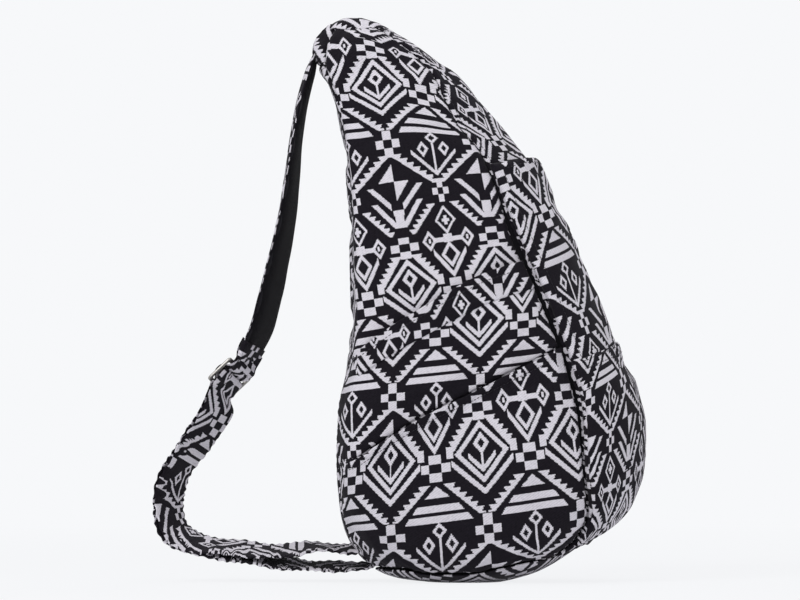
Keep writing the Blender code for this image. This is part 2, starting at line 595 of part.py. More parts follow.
def build_zip():
    """The main zip along the far seam: curved tape and coil, a slider with its bail, and a hinged pull."""
    tape = finish("zip_tape", BLACK, 0.85)
    metal = finish("zip_metal", PEWTER, 0.35, 1.0)
    on_panel = 2 * LAYER_GAP + SKIN
    for name, half, lift, thickness in (
        ("zip_tape", TAPE_HALF, on_panel, ZIP_TAPE),
        ("zip_coil", COIL_HALF, on_panel + ZIP_TAPE + TOUCH_GAP, COIL_HEIGHT),
    ):
        columns = FAR_SEAM_AT + half * np.array((-1.0, 0.0, 1.0))
        patch(name, columns, ZIP_LOW + 0 * columns, ZIP_HIGH + 0 * columns, 2, lift, thickness, tape)
    frame = zip_frame(ZIP_REST, zip_lift())
    bail_height = pin_height() + 0.7 * PULL_THICKNESS + PULL_PLAY + BAIL_RADIUS
    arch = bpy.data.curves.new("bail_arch", "CURVE")
    arch.dimensions = "3D"
    arch.bevel_depth = BAIL_RADIUS
    arch.bevel_resolution = 2
    arch.use_fill_caps = True
    spline = arch.splines.new("POLY")
    foot, knee = ZIP_BODY_HEIGHT / 2, BAIL_RADIUS
    bend = [(BAIL_REACH, foot), (BAIL_REACH, bail_height - knee), (BAIL_REACH - knee, bail_height)]
    stations = bend + [(-x, z) for x, z in reversed(bend)]
    spline.points.add(len(stations) - 1)
    for point, (x, z) in zip(spline.points, stations):
        point.co = (x, 0.0, z, 1.0)
    guide = bpy.data.objects.new("bail_guide", arch)
    parts.objects.link(guide)
    bpy.context.view_layer.update()
    mesh = bpy.data.meshes.new_from_object(guide.evaluated_get(bpy.context.evaluated_depsgraph_get()))
    bpy.data.objects.remove(guide, do_unlink=True)
    weld = bmesh.new()
    weld.from_mesh(mesh)
    bmesh.ops.remove_doubles(weld, verts=weld.verts, dist=1e-6)
    bmesh.ops.recalc_face_normals(weld, faces=weld.faces)
    weld.to_mesh(mesh)
    bail = bpy.data.objects.new("bail", mesh)
    bail.hide_render = True
    bail.display_type = "WIRE"
    helpers.objects.link(bail)
    block = bmesh.new()
    bmesh.ops.create_cube(block, size=1.0)
    for vert in block.verts:
        vert.co.x *= ZIP_BODY_LENGTH
        vert.co.y *= ZIP_BODY_WIDTH * (1.0 if vert.co.x > 0 else 0.75)
        vert.co.z = (vert.co.z + 0.5) * ZIP_BODY_HEIGHT
    body_mesh = bpy.data.meshes.new("zip_slider")
    block.to_mesh(body_mesh)
    body_mesh.materials.append(metal)
    body = bpy.data.objects.new("zip_slider", body_mesh)
    parts.objects.link(body)
    rounding = body.modifiers.new("rounding", "BEVEL")
    rounding.width = ZIP_BODY_ROUNDING
    rounding.segments = 2
    joined = body.modifiers.new("bail", "BOOLEAN")
    joined.operation = "UNION"
    joined.object = bail
    for piece in (body, bail):
        placed(piece, *frame)
    outline = bpy.data.curves.new("zip_pull", "CURVE")
    outline.dimensions = "2D"
    outline.fill_mode = "BOTH"
    outline.extrude = PULL_THICKNESS / 2
    half_bar = PULL_THICKNESS / 2
    half_length = (PULL_LENGTH + half_bar) / 2
    plate = outline.splines.new("POLY")
    rounded_outline(plate, half_length, PULL_WIDTH / 2, PULL_WIDTH * 0.3, half_bar - half_length)
    window_length = BAIL_REACH + BAIL_RADIUS + PULL_PLAY
    window = outline.splines.new("POLY")
    rounded_outline(window, window_length / 2, PULL_WINDOW / 2, PULL_THICKNESS / 3, -half_bar - window_length / 2)
    outline.materials.append(metal)
    pull = bpy.data.objects.new("zip_pull", outline)
    parts.objects.link(pull)
    placed(pull, pull_pivot()[0], *frame[1:])


for old in list(bpy.data.objects):
    bpy.data.objects.remove(old, do_unlink=True)
parts = bpy.data.collections.new("sling_backpack")
helpers = bpy.data.collections.new("helpers")
bpy.context.scene.collection.children.link(parts)
bpy.context.scene.collection.children.link(helpers)
fabric = build_body()
build_base(fabric)
build_pockets(fabric)
build_slider(build_band(fabric, build_strap(fabric)))
build_zip()
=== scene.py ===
"""Teardrop sling backpack in black and off-white jacquard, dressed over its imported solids.

The bag's surface is a function of two parameters, the place round the body and the share of its height. Every cloth
piece is a patch of that surface, so seams, mouths and folds stay where the solids have them.
"""

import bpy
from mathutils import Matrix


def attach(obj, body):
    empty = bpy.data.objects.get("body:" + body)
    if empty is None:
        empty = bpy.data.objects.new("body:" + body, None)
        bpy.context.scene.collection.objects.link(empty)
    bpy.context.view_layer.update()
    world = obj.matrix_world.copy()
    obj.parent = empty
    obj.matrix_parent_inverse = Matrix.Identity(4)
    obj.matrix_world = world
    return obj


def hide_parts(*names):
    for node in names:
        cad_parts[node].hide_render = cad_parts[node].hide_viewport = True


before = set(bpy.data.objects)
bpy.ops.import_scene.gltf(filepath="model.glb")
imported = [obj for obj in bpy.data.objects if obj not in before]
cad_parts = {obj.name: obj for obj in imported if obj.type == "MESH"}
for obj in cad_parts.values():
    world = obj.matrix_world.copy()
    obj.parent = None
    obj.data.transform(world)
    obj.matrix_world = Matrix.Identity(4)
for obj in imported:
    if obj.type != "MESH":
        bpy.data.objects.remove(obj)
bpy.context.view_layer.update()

import logging
import math
from dataclasses import dataclass, field
from enum import Enum
from typing import Any, Callable, Sequence

import bmesh
import bpy
import numpy as np
from mathutils import Matrix, Vector

log = logging.getLogger("sling_backpack")
Table = tuple[tuple[float, float], ...]

MM = 0.001
SEAM_AT, CORNER_AT, FRONT_AT, FAR_SEAM_AT, ROUND = 2.0, 1.0, 3.0, 4.0, 6.0


# ---------------------------------------------------------------- shape of the stuffed body


def smooth(pairs: Table, at: Any) -> np.ndarray:
    """A monotone cubic curve through the pairs: each span blends its two ends with harmonic mean slopes.

    Args:
        pairs: Rising places and the values there.
        at: Where the curve is read.

    Returns:
        The curve's values, the same shape as at.
    """
    x, y = np.array(pairs, float).T
    step = np.diff(x)
    slope = np.diff(y) / step
    tangent = np.zeros_like(y)
    same = slope[1:] * slope[:-1] > 0
    mean = 2 * slope[1:] * slope[:-1] / np.where(same, slope[1:] + slope[:-1], 1)
    tangent[1:-1] = np.where(same, mean, 0)
    tangent[0], tangent[-1] = slope[0], slope[-1]
    at = np.clip(at, x[0], x[-1])
    i = np.clip(np.searchsorted(x, at) - 1, 0, len(step) - 1)
    t = (at - x[i]) / step[i]
    rise, lead, trail = y[i + 1] - y[i], tangent[i] * step[i], tangent[i + 1] * step[i]
    return y[i] + t * (lead + t * (3 * rise - 2 * lead - trail + t * (lead + trail - 2 * rise)))


@dataclass(frozen=True)
class BodyForm:
    """The stuffed body: at each level two half superellipses, square towards the strap and round in front."""

    height: float = 0.441
    width: float = 0.229
    depth: float = 0.139
    floor: float = 0.002
    front_squareness: float = 2.5
    back_edge: Table = (
        (0.0, -0.150), (0.007, -0.262), (0.018, -0.323), (0.041, -0.384), (0.082, -0.432), (0.125, -0.452),
        (0.21, -0.465), (0.30, -0.458), (0.38, -0.428), (0.47, -0.417), (0.60, -0.419), (0.73, -0.434),
        (0.79, -0.448), (0.84, -0.470), (0.88, -0.496), (0.93, -0.534), (0.953, -0.530), (0.975, -0.511),
        (0.99, -0.482), (1.0, -0.445),
    )
    front_edge: Table = (
        (0.0, 0.087), (0.007, 0.144), (0.018, 0.210), (0.041, 0.290), (0.082, 0.393), (0.125, 0.463),
        (0.17, 0.511), (0.21, 0.532), (0.26, 0.535), (0.34, 0.500), (0.38, 0.467), (0.47, 0.404),
        (0.60, 0.301), (0.68, 0.231), (0.748, 0.172), (0.77, 0.140), (0.855, 0.008), (0.90, -0.067),
        (0.94, -0.162), (0.968, -0.240), (0.985, -0.306), (0.995, -0.360), (1.0, -0.392),
    )
    seam_line: Table = (
        (0.0, 0.050), (0.018, 0.157), (0.041, 0.240), (0.082, 0.341), (0.125, 0.376), (0.21, 0.362),
        (0.30, 0.349), (0.38, 0.314), (0.47, 0.253), (0.60, 0.144), (0.73, 0.048), (0.77, 0.010),
        (0.81, -0.055), (0.855, -0.100), (0.90, -0.140), (0.94, -0.215), (0.968, -0.285), (0.985, -0.340),
        (1.0, -0.405),
    )
    deepest_line: Table = (
        (0.0, -0.035), (0.125, -0.009), (0.25, 0.0), (0.38, -0.017), (0.47, -0.052), (0.60, -0.109),
        (0.73, -0.183), (0.84, -0.262), (0.90, -0.328), (0.95, -0.375), (1.0, -0.418),
    )
    half_depth: Table = (
        (0.0, 0.26), (0.007, 0.33), (0.018, 0.39), (0.041, 0.44), (0.082, 0.475), (0.125, 0.489),
        (0.21, 0.5), (0.30, 0.497), (0.38, 0.482), (0.47, 0.460), (0.60, 0.417), (0.73, 0.360),
        (0.84, 0.302), (0.90, 0.245), (0.94, 0.198), (0.968, 0.150), (0.985, 0.101), (1.0, 0.045),
    )
    back_squareness: Table = (
        (0.0, 2.6), (0.05, 3.0), (0.13, 5.0), (0.30, 8.0), (0.5, 10.0), (0.85, 8.0), (0.94, 4.0), (1.0, 2.4),
    )

    def place(self, around: Any, up: Any) -> np.ndarray:
        """Points of the body: x and y from the level's two half superellipses, z from the share of the height.

        Args:
            around: 0 at the back's middle, 1 at the near corner, 2 at the near seam, 3 in front, and on to 6.
            up: Share of the body's height.

        Returns:
            Points, with one more axis than the inputs.
        """
        around, up = np.broadcast_arrays(np.asarray(around, float), np.asarray(up, float))
        turned = np.mod(around, ROUND)
        far = turned > FRONT_AT
        place = np.where(far, ROUND - turned, turned)
        middle = self.width * smooth(self.deepest_line, up)
        back = middle - self.width * smooth(self.back_edge, up)
        front = self.width * smooth(self.front_edge, up) - middle
        seam = self.width * smooth(self.seam_line, up)
        square = smooth(self.back_squareness, up)
        corner = 0.5 ** (1 / square)
        side = np.clip(place, 0, CORNER_AT)
        x_side = middle - back * (1 - (side * corner) ** square) ** (1 / square)
        along = np.clip(place - CORNER_AT, 0, 1) ** 1.1
        x_face = middle - back * corner + (seam - middle + back * corner) * along
        reach = np.where(x_face < middle, (middle - x_face) / back, (x_face - middle) / front)
        power = np.where(x_face < middle, square, self.front_squareness)
        y_face = (1 - np.clip(reach, 0, 1) ** power) ** (1 / power)
        half = self.front_squareness / 2
        turn = np.arccos(np.clip((seam - middle) / front, 0, 1) ** half) * np.clip(FRONT_AT - place, 0, 1) ** 1.3
        x_front, y_front = middle + front * np.cos(turn) ** (1 / half), np.sin(turn) ** (1 / half)
        x = np.where(place < CORNER_AT, x_side, np.where(place < SEAM_AT, x_face, x_front))
        y = np.where(place < CORNER_AT, side * corner, np.where(place < SEAM_AT, y_face, y_front))
        deep = self.depth * smooth(self.half_depth, up) * np.where(far, 1, -1)
        return np.stack([x, deep * y, self.floor + up * (self.height - 2 * self.floor)], -1)

    def normal(self, around: Any, up: Any) -> np.ndarray:
        """Outward unit normals: the cross product of small steps round and up the body."""
        around, up = np.broadcast_arrays(np.asarray(around, float), np.asarray(up, float))
        nudge = 1e-3
        along = self.place(around + nudge, up) - self.place(around - nudge, up)
        rise = self.place(around, np.clip(up + nudge, 0, 1)) - self.place(around, np.clip(up - nudge, 0, 1))
        cross = np.cross(along, rise)
        return cross / np.linalg.norm(cross, axis=-1, keepdims=True)

    def lifted(self, around: Any, up: Any, lift: Any) -> np.ndarray:
        """Points that stand off the body by the lift, along its normals."""
        return self.place(around, up) + np.asarray(lift)[..., None] * self.normal(around, up)


FORM = BodyForm()
BASE_SEAM: Table = ((0.0, 0.022), (1.0, 0.022), (1.3, 0.014), (1.6, 0.014), (2.0, 0.040), (2.7, 0.061), (3.0, 0.062))
UPPER_MOUTH: Table = ((1.0, 0.410), (1.17, 0.449), (1.38, 0.488), (1.55, 0.518), (1.74, 0.546), (2.0, 0.572))
LOWER_MOUTH: Table = ((0.6, 0.200), (1.0, 0.214), (1.16, 0.248), (1.37, 0.297), (1.53, 0.328), (1.74, 0.370), (2.0, 0.417))
POCKET_TOP: Table = ((2.0, 0.742), (2.4, 0.752), (3.0, 0.748))
POUCH_TOP: Table = ((2.0, 0.387), (2.12, 0.393), (2.29, 0.402), (2.54, 0.410), (3.0, 0.417))
STRAP_SEAM: Table = ((0.0, 0.56), (0.70, 0.56), (0.78, 0.72), (0.86, 0.97), (1.0, 1.0))


def line_height(line: Table, around: Any) -> np.ndarray:
    """Share of the height of a sewn line at a place round the body, the same on both halves."""
    turned = np.mod(around, ROUND)
    return smooth(line, np.where(turned > FRONT_AT, ROUND - turned, turned))


def ramp(value: Any, start: float, end: float) -> np.ndarray:
    """Rises from 0 at the start to 1 at the end, level at both: 3t squared less 2t cubed."""
    t = np.clip((np.asarray(value, float) - start) / (end - start), 0, 1)
    return t * t * (3 - 2 * t)


def parting(up: Any) -> np.ndarray:
    """How far the near seam opens beside the stuffed pocket: 1 over the middle heights, 0 at base and shoulder. The
    opening bares the near-black lining as a painted shadow gap.
    """
    return ramp(up, 0.20, 0.36) * (1 - ramp(up, 0.60, 0.70))


def valley(around: Any, up: Any) -> np.ndarray:
    """Depth in millimetres of the near seam's valley: a Gaussian across the seam, where it parts."""
    return 3.6 * parting(up) * np.exp(-(((np.mod(around, ROUND) - SEAM_AT) / 0.055) ** 2))


# ---------------------------------------------------------------- node and mesh helpers


def linear(code: str) -> tuple[float, float, float, float]:
    """The linear colour of an sRGB hex code."""
    parts = (int(code[i : i + 2], 16) / 255 for i in (1, 3, 5))
    return (*(c / 12.92 if c <= 0.04045 else ((c + 0.055) / 1.055) ** 2.4 for c in parts), 1.0)


def add(tree: bpy.types.NodeTree, kind: str, inputs: dict[Any, Any] | None = None, **settings: Any) -> bpy.types.Node:
    """Adds a node with its settings, and sets or links its inputs.

    Args:
        tree: The node tree.
        kind: The node's type.
        inputs: Input names or numbers, with values or output sockets.
        **settings: The node's own properties.

    Returns:
        The node.
    """
    node = tree.nodes.new(kind)
    for name, value in settings.items():
        setattr(node, name, value)
    for key, value in (inputs or {}).items():
        if isinstance(value, bpy.types.NodeSocket):
            tree.links.new(value, node.inputs[key])
        else:
            node.inputs[key].default_value = value
    return node


class Wire:
    """A number in a shader that takes part in sums, so that a pattern is written as a formula."""

    def __init__(self, tree: bpy.types.NodeTree, socket: bpy.types.NodeSocket) -> None:
        """Keeps the tree and the socket that the number comes from."""
        self.tree, self.socket = tree, socket

    def calc(self, operation: str, *others: Any) -> "Wire":
        """The result of a Math node on this number and the others."""
        values = [other.socket if isinstance(other, Wire) else float(other) for other in others]
        inputs = dict(enumerate([self.socket, *values]))
        return Wire(self.tree, add(self.tree, "ShaderNodeMath", inputs, operation=operation).outputs[0])

    def __add__(self, other: Any) -> "Wire":
        """Sum."""
        return self.calc("ADD", other)

    def __sub__(self, other: Any) -> "Wire":
        """Difference."""
        return self.calc("SUBTRACT", other)

    def __rsub__(self, other: float) -> "Wire":
        """A number less this one."""
        return self.calc("MULTIPLY_ADD", -1.0, other)

    def __mul__(self, other: Any) -> "Wire":
        """Product."""
        return self.calc("MULTIPLY", other)

    __radd__, __rmul__ = __add__, __mul__

    def __truediv__(self, other: float) -> "Wire":
        """Quotient by a number."""
        return self.calc("MULTIPLY", 1.0 / other)

    def __mod__(self, other: float) -> "Wire":
        """Remainder that is never below nought."""
        return self.calc("FLOORED_MODULO", other)

    def __abs__(self) -> "Wire":
        """Size without sign."""
        return self.calc("ABSOLUTE")

    def __lt__(self, other: Any) -> "Wire":
        """1 where this is less."""
        return self.calc("LESS_THAN", other)

    def __gt__(self, other: Any) -> "Wire":
        """1 where this is more."""
        return self.calc("GREATER_THAN", other)

    def __and__(self, other: "Wire") -> "Wire":
        """1 where both are 1."""
        return self.calc("MULTIPLY", other)

    def __or__(self, other: "Wire") -> "Wire":
        """1 where either is 1."""
        return self.calc("MAXIMUM", other)

    def __xor__(self, other: "Wire") -> "Wire":
        """1 where only one of them is 1."""
        return self.calc("SUBTRACT", other).calc("ABSOLUTE")

    def __invert__(self) -> "Wire":
        """1 where this is 0."""
        return 1.0 - self


def surface(name: str, points: np.ndarray, cloth: np.ndarray | None = None, wrap: tuple[bool, bool] = (False, False),
            flip: bool = False) -> bpy.types.Object:
    """A mesh from a grid of points, quads between neighbours, with the cloth's own millimetres as its UV map.

    Args:
        name: The piece's name.
        points: Rows by columns by 3.
        cloth: Rows by columns by 2, in metres along and up the cloth.
        wrap: Whether the rows and the columns close on themselves.
        flip: Turns the faces round.

    Returns:
        The mesh object, linked to the scene.
    """
    rows, columns = points.shape[:2]
    index = np.arange(rows * columns).reshape(rows, columns)
    low = index if wrap[0] else index[:-1]
    high = np.roll(index, -1, 0) if wrap[0] else index[1:]
    if wrap[1]:
        quads = np.stack([low, np.roll(low, -1, 1), np.roll(high, -1, 1), high], -1)
    else:
        quads = np.stack([low[:, :-1], low[:, 1:], high[:, 1:], high[:, :-1]], -1)
    quads = quads.reshape(-1, 4)
    return from_faces(name, points.reshape(-1, 3), quads[:, ::-1] if flip else quads,
                      None if cloth is None else cloth.reshape(-1, 2))


def from_faces(name: str, points: np.ndarray, quads: np.ndarray, cloth: np.ndarray | None = None) -> bpy.types.Object:
    """A mesh object from points and quads, shaded smooth.

    Args:
        name: The piece's name.
        points: One row a vertex.
        quads: One row a face, four vertices each.
        cloth: UV of each vertex, or None.

    Returns:
        The mesh object, linked to the scene.
    """
    mesh = bpy.data.meshes.new(name)
    mesh.vertices.add(len(points))
    mesh.vertices.foreach_set("co", np.ascontiguousarray(points, np.float32).ravel())
    mesh.loops.add(quads.size)
    mesh.loops.foreach_set("vertex_index", np.ascontiguousarray(quads, np.int32).ravel())
    mesh.polygons.add(len(quads))
    mesh.polygons.foreach_set("loop_start", np.arange(0, quads.size, 4, dtype=np.int32))
    mesh.update(calc_edges=True)
    mesh.polygons.foreach_set("use_smooth", np.ones(len(quads), bool))
    if cloth is not None:
        layer = mesh.uv_layers.new(name="cloth")
        layer.data.foreach_set("uv", np.ascontiguousarray(cloth[quads.ravel()], np.float32).ravel())
    mesh.validate()
    piece = bpy.data.objects.new(name, mesh)
    bpy.context.scene.collection.objects.link(piece)
    return piece


def spans(points: np.ndarray, axis: int) -> np.ndarray:
    """Distance run along one axis of a grid of points, from nought at its first row or column."""
    steps = np.linalg.norm(np.diff(points, axis=axis), axis=-1)
    start = np.zeros_like(np.take(steps, [0], axis))
    return np.concatenate([start, np.cumsum(steps, axis)], axis)


def cloth_wall(piece: bpy.types.Object, thickness: float, offset: float = -1.0) -> None:
    """Gives a sheet its thickness."""
    wall = piece.modifiers.new("thickness", "SOLIDIFY")
    wall.thickness, wall.offset = thickness, offset


def hand_over(piece: bpy.types.Object, material: bpy.types.Material, nodes: Sequence[str] = (),
              body: str = "bag") -> bpy.types.Object:
    """Dresses a piece, lets it ride on its body and hides the solids that it stands for.

    Args:
        piece: The mesh object.
        material: Its finish.
        nodes: The solids it replaces.
        body: The body it rides on.

    Returns:
        The piece.
    """
    piece.data.materials.append(material)
    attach(piece, body)
    if nodes:
        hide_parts(*nodes)
    log.info("%s: %d faces", piece.name, len(piece.data.polygons))
    return piece


# ---------------------------------------------------------------- finishes


def cross(side: Any, rise: Any, cell: float, half_row: float, arm: float, reach: float) -> Any:
    """A chequered cross: light where only one of the middle column and the middle row holds the thread."""
    return ((side < cell) ^ (abs(rise) < half_row)) & (side < arm) & (abs(rise) < reach)


def ring(side: Any, rise: Any, half_width: float, half_height: float, hole: float) -> Any:
    """A diamond outline: the shares across and up add up to between the hole's size and one."""
    share = abs(side) / half_width + abs(rise) / half_height
    return (share < 1.0) & (share > hole)


def comb(depth: Any, row: Any, low: float, high: float, base: float, tooth: float) -> Any:
    """A bar with saw teeth: its depth from a straight edge ends at the base plus a tooth that shrinks row by row."""
    point = 1.0 - ((row - low) / 3.6) % 1.0
    return (depth > 0.0) & (depth < base + tooth * point) & (row > low) & (row < high)


@dataclass(frozen=True)
class Jacquard:
    """Cotton jacquard: flat dark ground with nubby light motifs. The eye gets stepped edges and a matt, soft surface."""

    name: str = "cotton_jacquard"
    dark: str = "#1F1C24"
    light: str = "#E6E2EA"
    column: float = 66.0
    repeat: float = 163.0
    warp_step: float = 0.8
    weft_step: float = 0.6
    twill_pitch: float = 1.7
    roughness: float = 0.88

    def column_motifs(self, x: Any, y: Any) -> Any:
        """Light threads of the first column: cross, nested diamond in combs, small cross, bow of triangles and crown.

        Args:
            x: Millimetres across the cloth.
            y: Millimetres down the cloth.

        Returns:
            1 where a thread is light.
        """
        sided = (x + self.column / 2) % self.column - self.column / 2
        a = abs(sided)
        p = (y + 8.2) % self.repeat - 8.2
        fall, sweep = p + a * 1.1, p + a * 0.986
        light = cross(a, p, 4.3, 2.7, 10.2, 8.1)
        light = light | ring(a, p - 29.9, 19.0, 21.2, 0.785) | ring(a, p - 24.0, 5.6, 7.6, 0.44)
        light = light | ((a < 0.8) & (p > 29.0) & (p < 41.0)) | ((fall > 39.9) & (fall < 43.9) & (a < 10.0))
        light = light | ((sweep > 54.3) & (sweep < 58.8) & (a < 21.7))
        light = light | (comb(a - 3.9 - (p - 6.9) * 0.745, p, 6.1, 27.5, 4.0, 4.6) & (a < 25.0))
        light = light | ((abs(a - 22.6) < 2.5) & (abs(p - 28.4) < 3.2))
        light = light | (comb(28.3 - 1.02 * (p - 48.2) - a, p, 47.9, 71.0, 3.2, 5.4) & (a > 0.9))
        light = light | cross(a, p - 82.4, 3.2, 3.1, 9.0, 10.2) | ((a < 3.0) & (p > 71.5) & (p < 79.0))
        light = light | comb(a - 1.0 - (p - 92.3) * 1.19, p, 91.2, 115.4, 3.2, 5.6)
        light = light | ((sided < 0.0) & (sided > 0.87 * (98.0 - p)) & (p > 98.0) & (p < 111.3))
        light = light | ((sided > 0.0) & (sided < 0.74 * (126.2 - p)) & (p > 111.6))
        light = light | ((abs(a - 4.5 - 0.86 * (131.0 - p)) < 2.3) & (p > 114.6) & (p < 133.6) & (a > 4.4))
        light = light | ((abs(a - 2.6 - 0.72 * (147.0 - p)) < 2.2) & (p > 127.2) & (p < 147.3))
        light = light | ((a < 4.0 - 0.1 * (p - 133.7)) & (p > 133.7) & (p < 147.3))
        return light | comb(26.6 - 0.83 * (p - 133.0) - a, p, 131.6, 153.6, 2.6, 5.0)

    def between_motifs(self, x: Any, y: Any) -> Any:
        """Light threads of the column between: cross, roofed flower in a bowl, narrow cross and a star of diamonds.

        Args:
            x: Millimetres across the cloth.
            y: Millimetres down the cloth.

        Returns:
            1 where a thread is light.
        """
        b = abs(x % self.column - self.column / 2)
        q = (y + 30.0) % self.repeat - 30.0
        bend, lean = q + b * 1.07, q + b * 1.57
        light = cross(b, q - 37.3, 4.3, 3.0, 10.2, 9.0)
        light = light | ((b < (q - 49.0) * 1.08) & (q < 57.0))
        light = light | ((b < (q - 42.7) * 0.75) & (q > 61.8) & (q < 66.6))
        light = light | ((b < (q - 35.0) * 0.6) & (q > 69.2) & (q < 74.0))
        light = light | ring(b, q - 79.3, 5.1, 5.6, 0.5) | ((b < 0.85) & (q > 84.0) & (q < 109.0))
        light = light | ring(b - 7.9, q - 88.8, 4.3, 6.6, 0.46)
        light = light | ((bend > 107.0) & (bend < 110.4) & (b < 16.8))
        light = light | cross(b, q - 122.4, 2.2, 2.9, 6.0, 8.8)
        light = light | ring(b, q + 17.6, 7.8, 11.2, 0.74)
        light = light | ((b < 1.3) & (abs(q + 17.6) < 3.6)) | ((b < 3.0) & (abs(q + 17.6) < 1.3))
        light = light | ((b < 3.4) & (q > -6.4) & (q < 0.0)) | ((b < 10.0) & (abs(q + 2.6) < 1.9))
        light = light | ring(b - 14.0, q + 2.4, 5.2, 8.0, 0.58) | ((abs(b - 14.0) < 0.9) & (abs(q + 2.4) < 1.7))
        light = light | ring(b, q - 9.6, 6.9, 10.2, 0.62)
        return light | ((lean > 23.0) & (lean < 28.2) & (b < 11.8))

    def build(self) -> bpy.types.Material:
        """The material: motifs stepped to the threads, nubs from noise, and rib bump at thread spacing."""
        material = bpy.data.materials.new(self.name)
        material.use_nodes = True
        tree = material.node_tree
        shader = tree.nodes["Principled BSDF"]
        place = add(tree, "ShaderNodeUVMap", uv_map="cloth")
        parts = add(tree, "ShaderNodeSeparateXYZ", {0: place.outputs[0]})
        fray = add(tree, "ShaderNodeTexNoise", {"Vector": place.outputs[0], "Scale": 900.0, "Detail": 1.0})
        frayed = Wire(tree, fray.outputs[0]) - 0.5
        x = Wire(tree, parts.outputs[0]) * 1000.0 + frayed * 0.7
        y = Wire(tree, parts.outputs[1]) * -1000.0 + frayed * 0.5
        across = x.calc("SNAP", self.warp_step) + self.warp_step / 2
        down = y.calc("SNAP", self.weft_step) + self.weft_step / 2
        light = self.column_motifs(across, down) | self.between_motifs(across, down)
        nub = add(tree, "ShaderNodeTexNoise", {"Vector": place.outputs[0], "Scale": 620.0, "Detail": 2.0})
        worn = add(tree, "ShaderNodeTexNoise", {"Vector": place.outputs[0], "Scale": 28.0, "Detail": 3.0})
        turn = 2 * math.pi
        twill = ((x * 0.55 + y) * (turn / self.twill_pitch)).calc("SINE")
        shade = Wire(tree, nub.outputs[0]) * 0.7 + Wire(tree, worn.outputs[0]) * 0.3 + twill * 0.15 + 0.38
        speck = Wire(tree, nub.outputs[0]) + twill * 0.16
        dark = add(tree, "ShaderNodeMix", {0: speck.socket, "A": linear("#0C0A10"), "B": linear("#201C24")},
                   data_type="RGBA")
        pale = add(tree, "ShaderNodeMix", {0: shade.socket, "A": linear("#96939D"), "B": linear(self.light)},
                   data_type="RGBA")
        colour = add(tree, "ShaderNodeMix", {0: light.socket, "A": dark.outputs["Result"],
                                             "B": pale.outputs["Result"]}, data_type="RGBA")
        tree.links.new(colour.outputs["Result"], shader.inputs["Base Color"])
        rib = (x * (turn / self.warp_step)).calc("SINE") * (y * (turn / self.weft_step / 2)).calc("SINE")
        height = rib * 0.3 + Wire(tree, nub.outputs[0]) + light * 0.6
        bump = add(tree, "ShaderNodeBump", {"Height": height.socket, "Strength": 0.55, "Distance": 0.00035})
        tree.links.new(bump.outputs[0], shader.inputs["Normal"])
        shader.inputs["Roughness"].default_value = self.roughness
        shader.inputs["Specular IOR Level"].default_value = 0.12
        shader.inputs["Sheen Weight"].default_value = 0.03
        shader.inputs["Sheen Roughness"].default_value = 0.5
        return material


@dataclass(frozen=True)
class PlainWeave:
    """Black woven or knitted cloth: near black, with the fine rib and low sheen of microfibre."""

    name: str
    dark: str = "#141318"
    pale: str = "#26242B"
    thread: float = 0.7
    roughness: float = 0.85
    sheen: float = 0.08

    def build(self) -> bpy.types.Material:
        """The material: two blacks mixed by noise, with ribs across each other on Object coordinates."""
        material = bpy.data.materials.new(self.name)
        material.use_nodes = True
        tree = material.node_tree
        shader = tree.nodes["Principled BSDF"]
        place = add(tree, "ShaderNodeTexCoord").outputs["Object"]
        fibre = add(tree, "ShaderNodeTexNoise", {"Vector": place, "Scale": 500.0, "Detail": 3.0})
        colour = add(tree, "ShaderNodeMix", {0: fibre.outputs[0], "A": linear(self.dark), "B": linear(self.pale)},
                     data_type="RGBA")
        tree.links.new(colour.outputs["Result"], shader.inputs["Base Color"])
        parts = add(tree, "ShaderNodeSeparateXYZ", {0: place})
        rate = 2 * math.pi / (self.thread * MM)
        across = ((Wire(tree, parts.outputs[0]) + Wire(tree, parts.outputs[1])) * rate).calc("SINE")
        upward = (Wire(tree, parts.outputs[2]) * rate).calc("SINE")
        height = across * upward * 0.5 + Wire(tree, fibre.outputs[0])
        bump = add(tree, "ShaderNodeBump", {"Height": height.socket, "Strength": 0.4, "Distance": 0.0003})
        tree.links.new(bump.outputs[0], shader.inputs["Normal"])
        shader.inputs["Roughness"].default_value = self.roughness
        shader.inputs["Specular IOR Level"].default_value = 0.12
        shader.inputs["Sheen Weight"].default_value = self.sheen
        return material


@dataclass(frozen=True)
class CastMetal:
    """Die-cast zinc with a pewter plating: a grey metal with soft gloss, fine pits and rubbed spots."""

    name: str = "cast_pewter"
    dark: str = "#6F6D6B"
    pale: str = "#A9A6A2"

    def build(self) -> bpy.types.Material:
        """The material: colour and roughness vary with two noises, and pits come from a fine bump."""
        material = bpy.data.materials.new(self.name)
        material.use_nodes = True
        tree = material.node_tree
        shader = tree.nodes["Principled BSDF"]
        place = add(tree, "ShaderNodeTexCoord").outputs["Object"]
        rubbed = add(tree, "ShaderNodeTexNoise", {"Vector": place, "Scale": 160.0, "Detail": 4.0})
        colour = add(tree, "ShaderNodeMix", {0: rubbed.outputs[0], "A": linear(self.dark), "B": linear(self.pale)},
                     data_type="RGBA")
        tree.links.new(colour.outputs["Result"], shader.inputs["Base Color"])
        tree.links.new((Wire(tree, rubbed.outputs[0]) * 0.3 + 0.22).socket, shader.inputs["Roughness"])
        pits = add(tree, "ShaderNodeTexNoise", {"Vector": place, "Scale": 2500.0, "Detail": 2.0})
        bump = add(tree, "ShaderNodeBump", {"Height": pits.outputs[0], "Strength": 0.12, "Distance": 0.0002})
        tree.links.new(bump.outputs[0], shader.inputs["Normal"])
        shader.inputs["Metallic"].default_value = 1.0
        return material


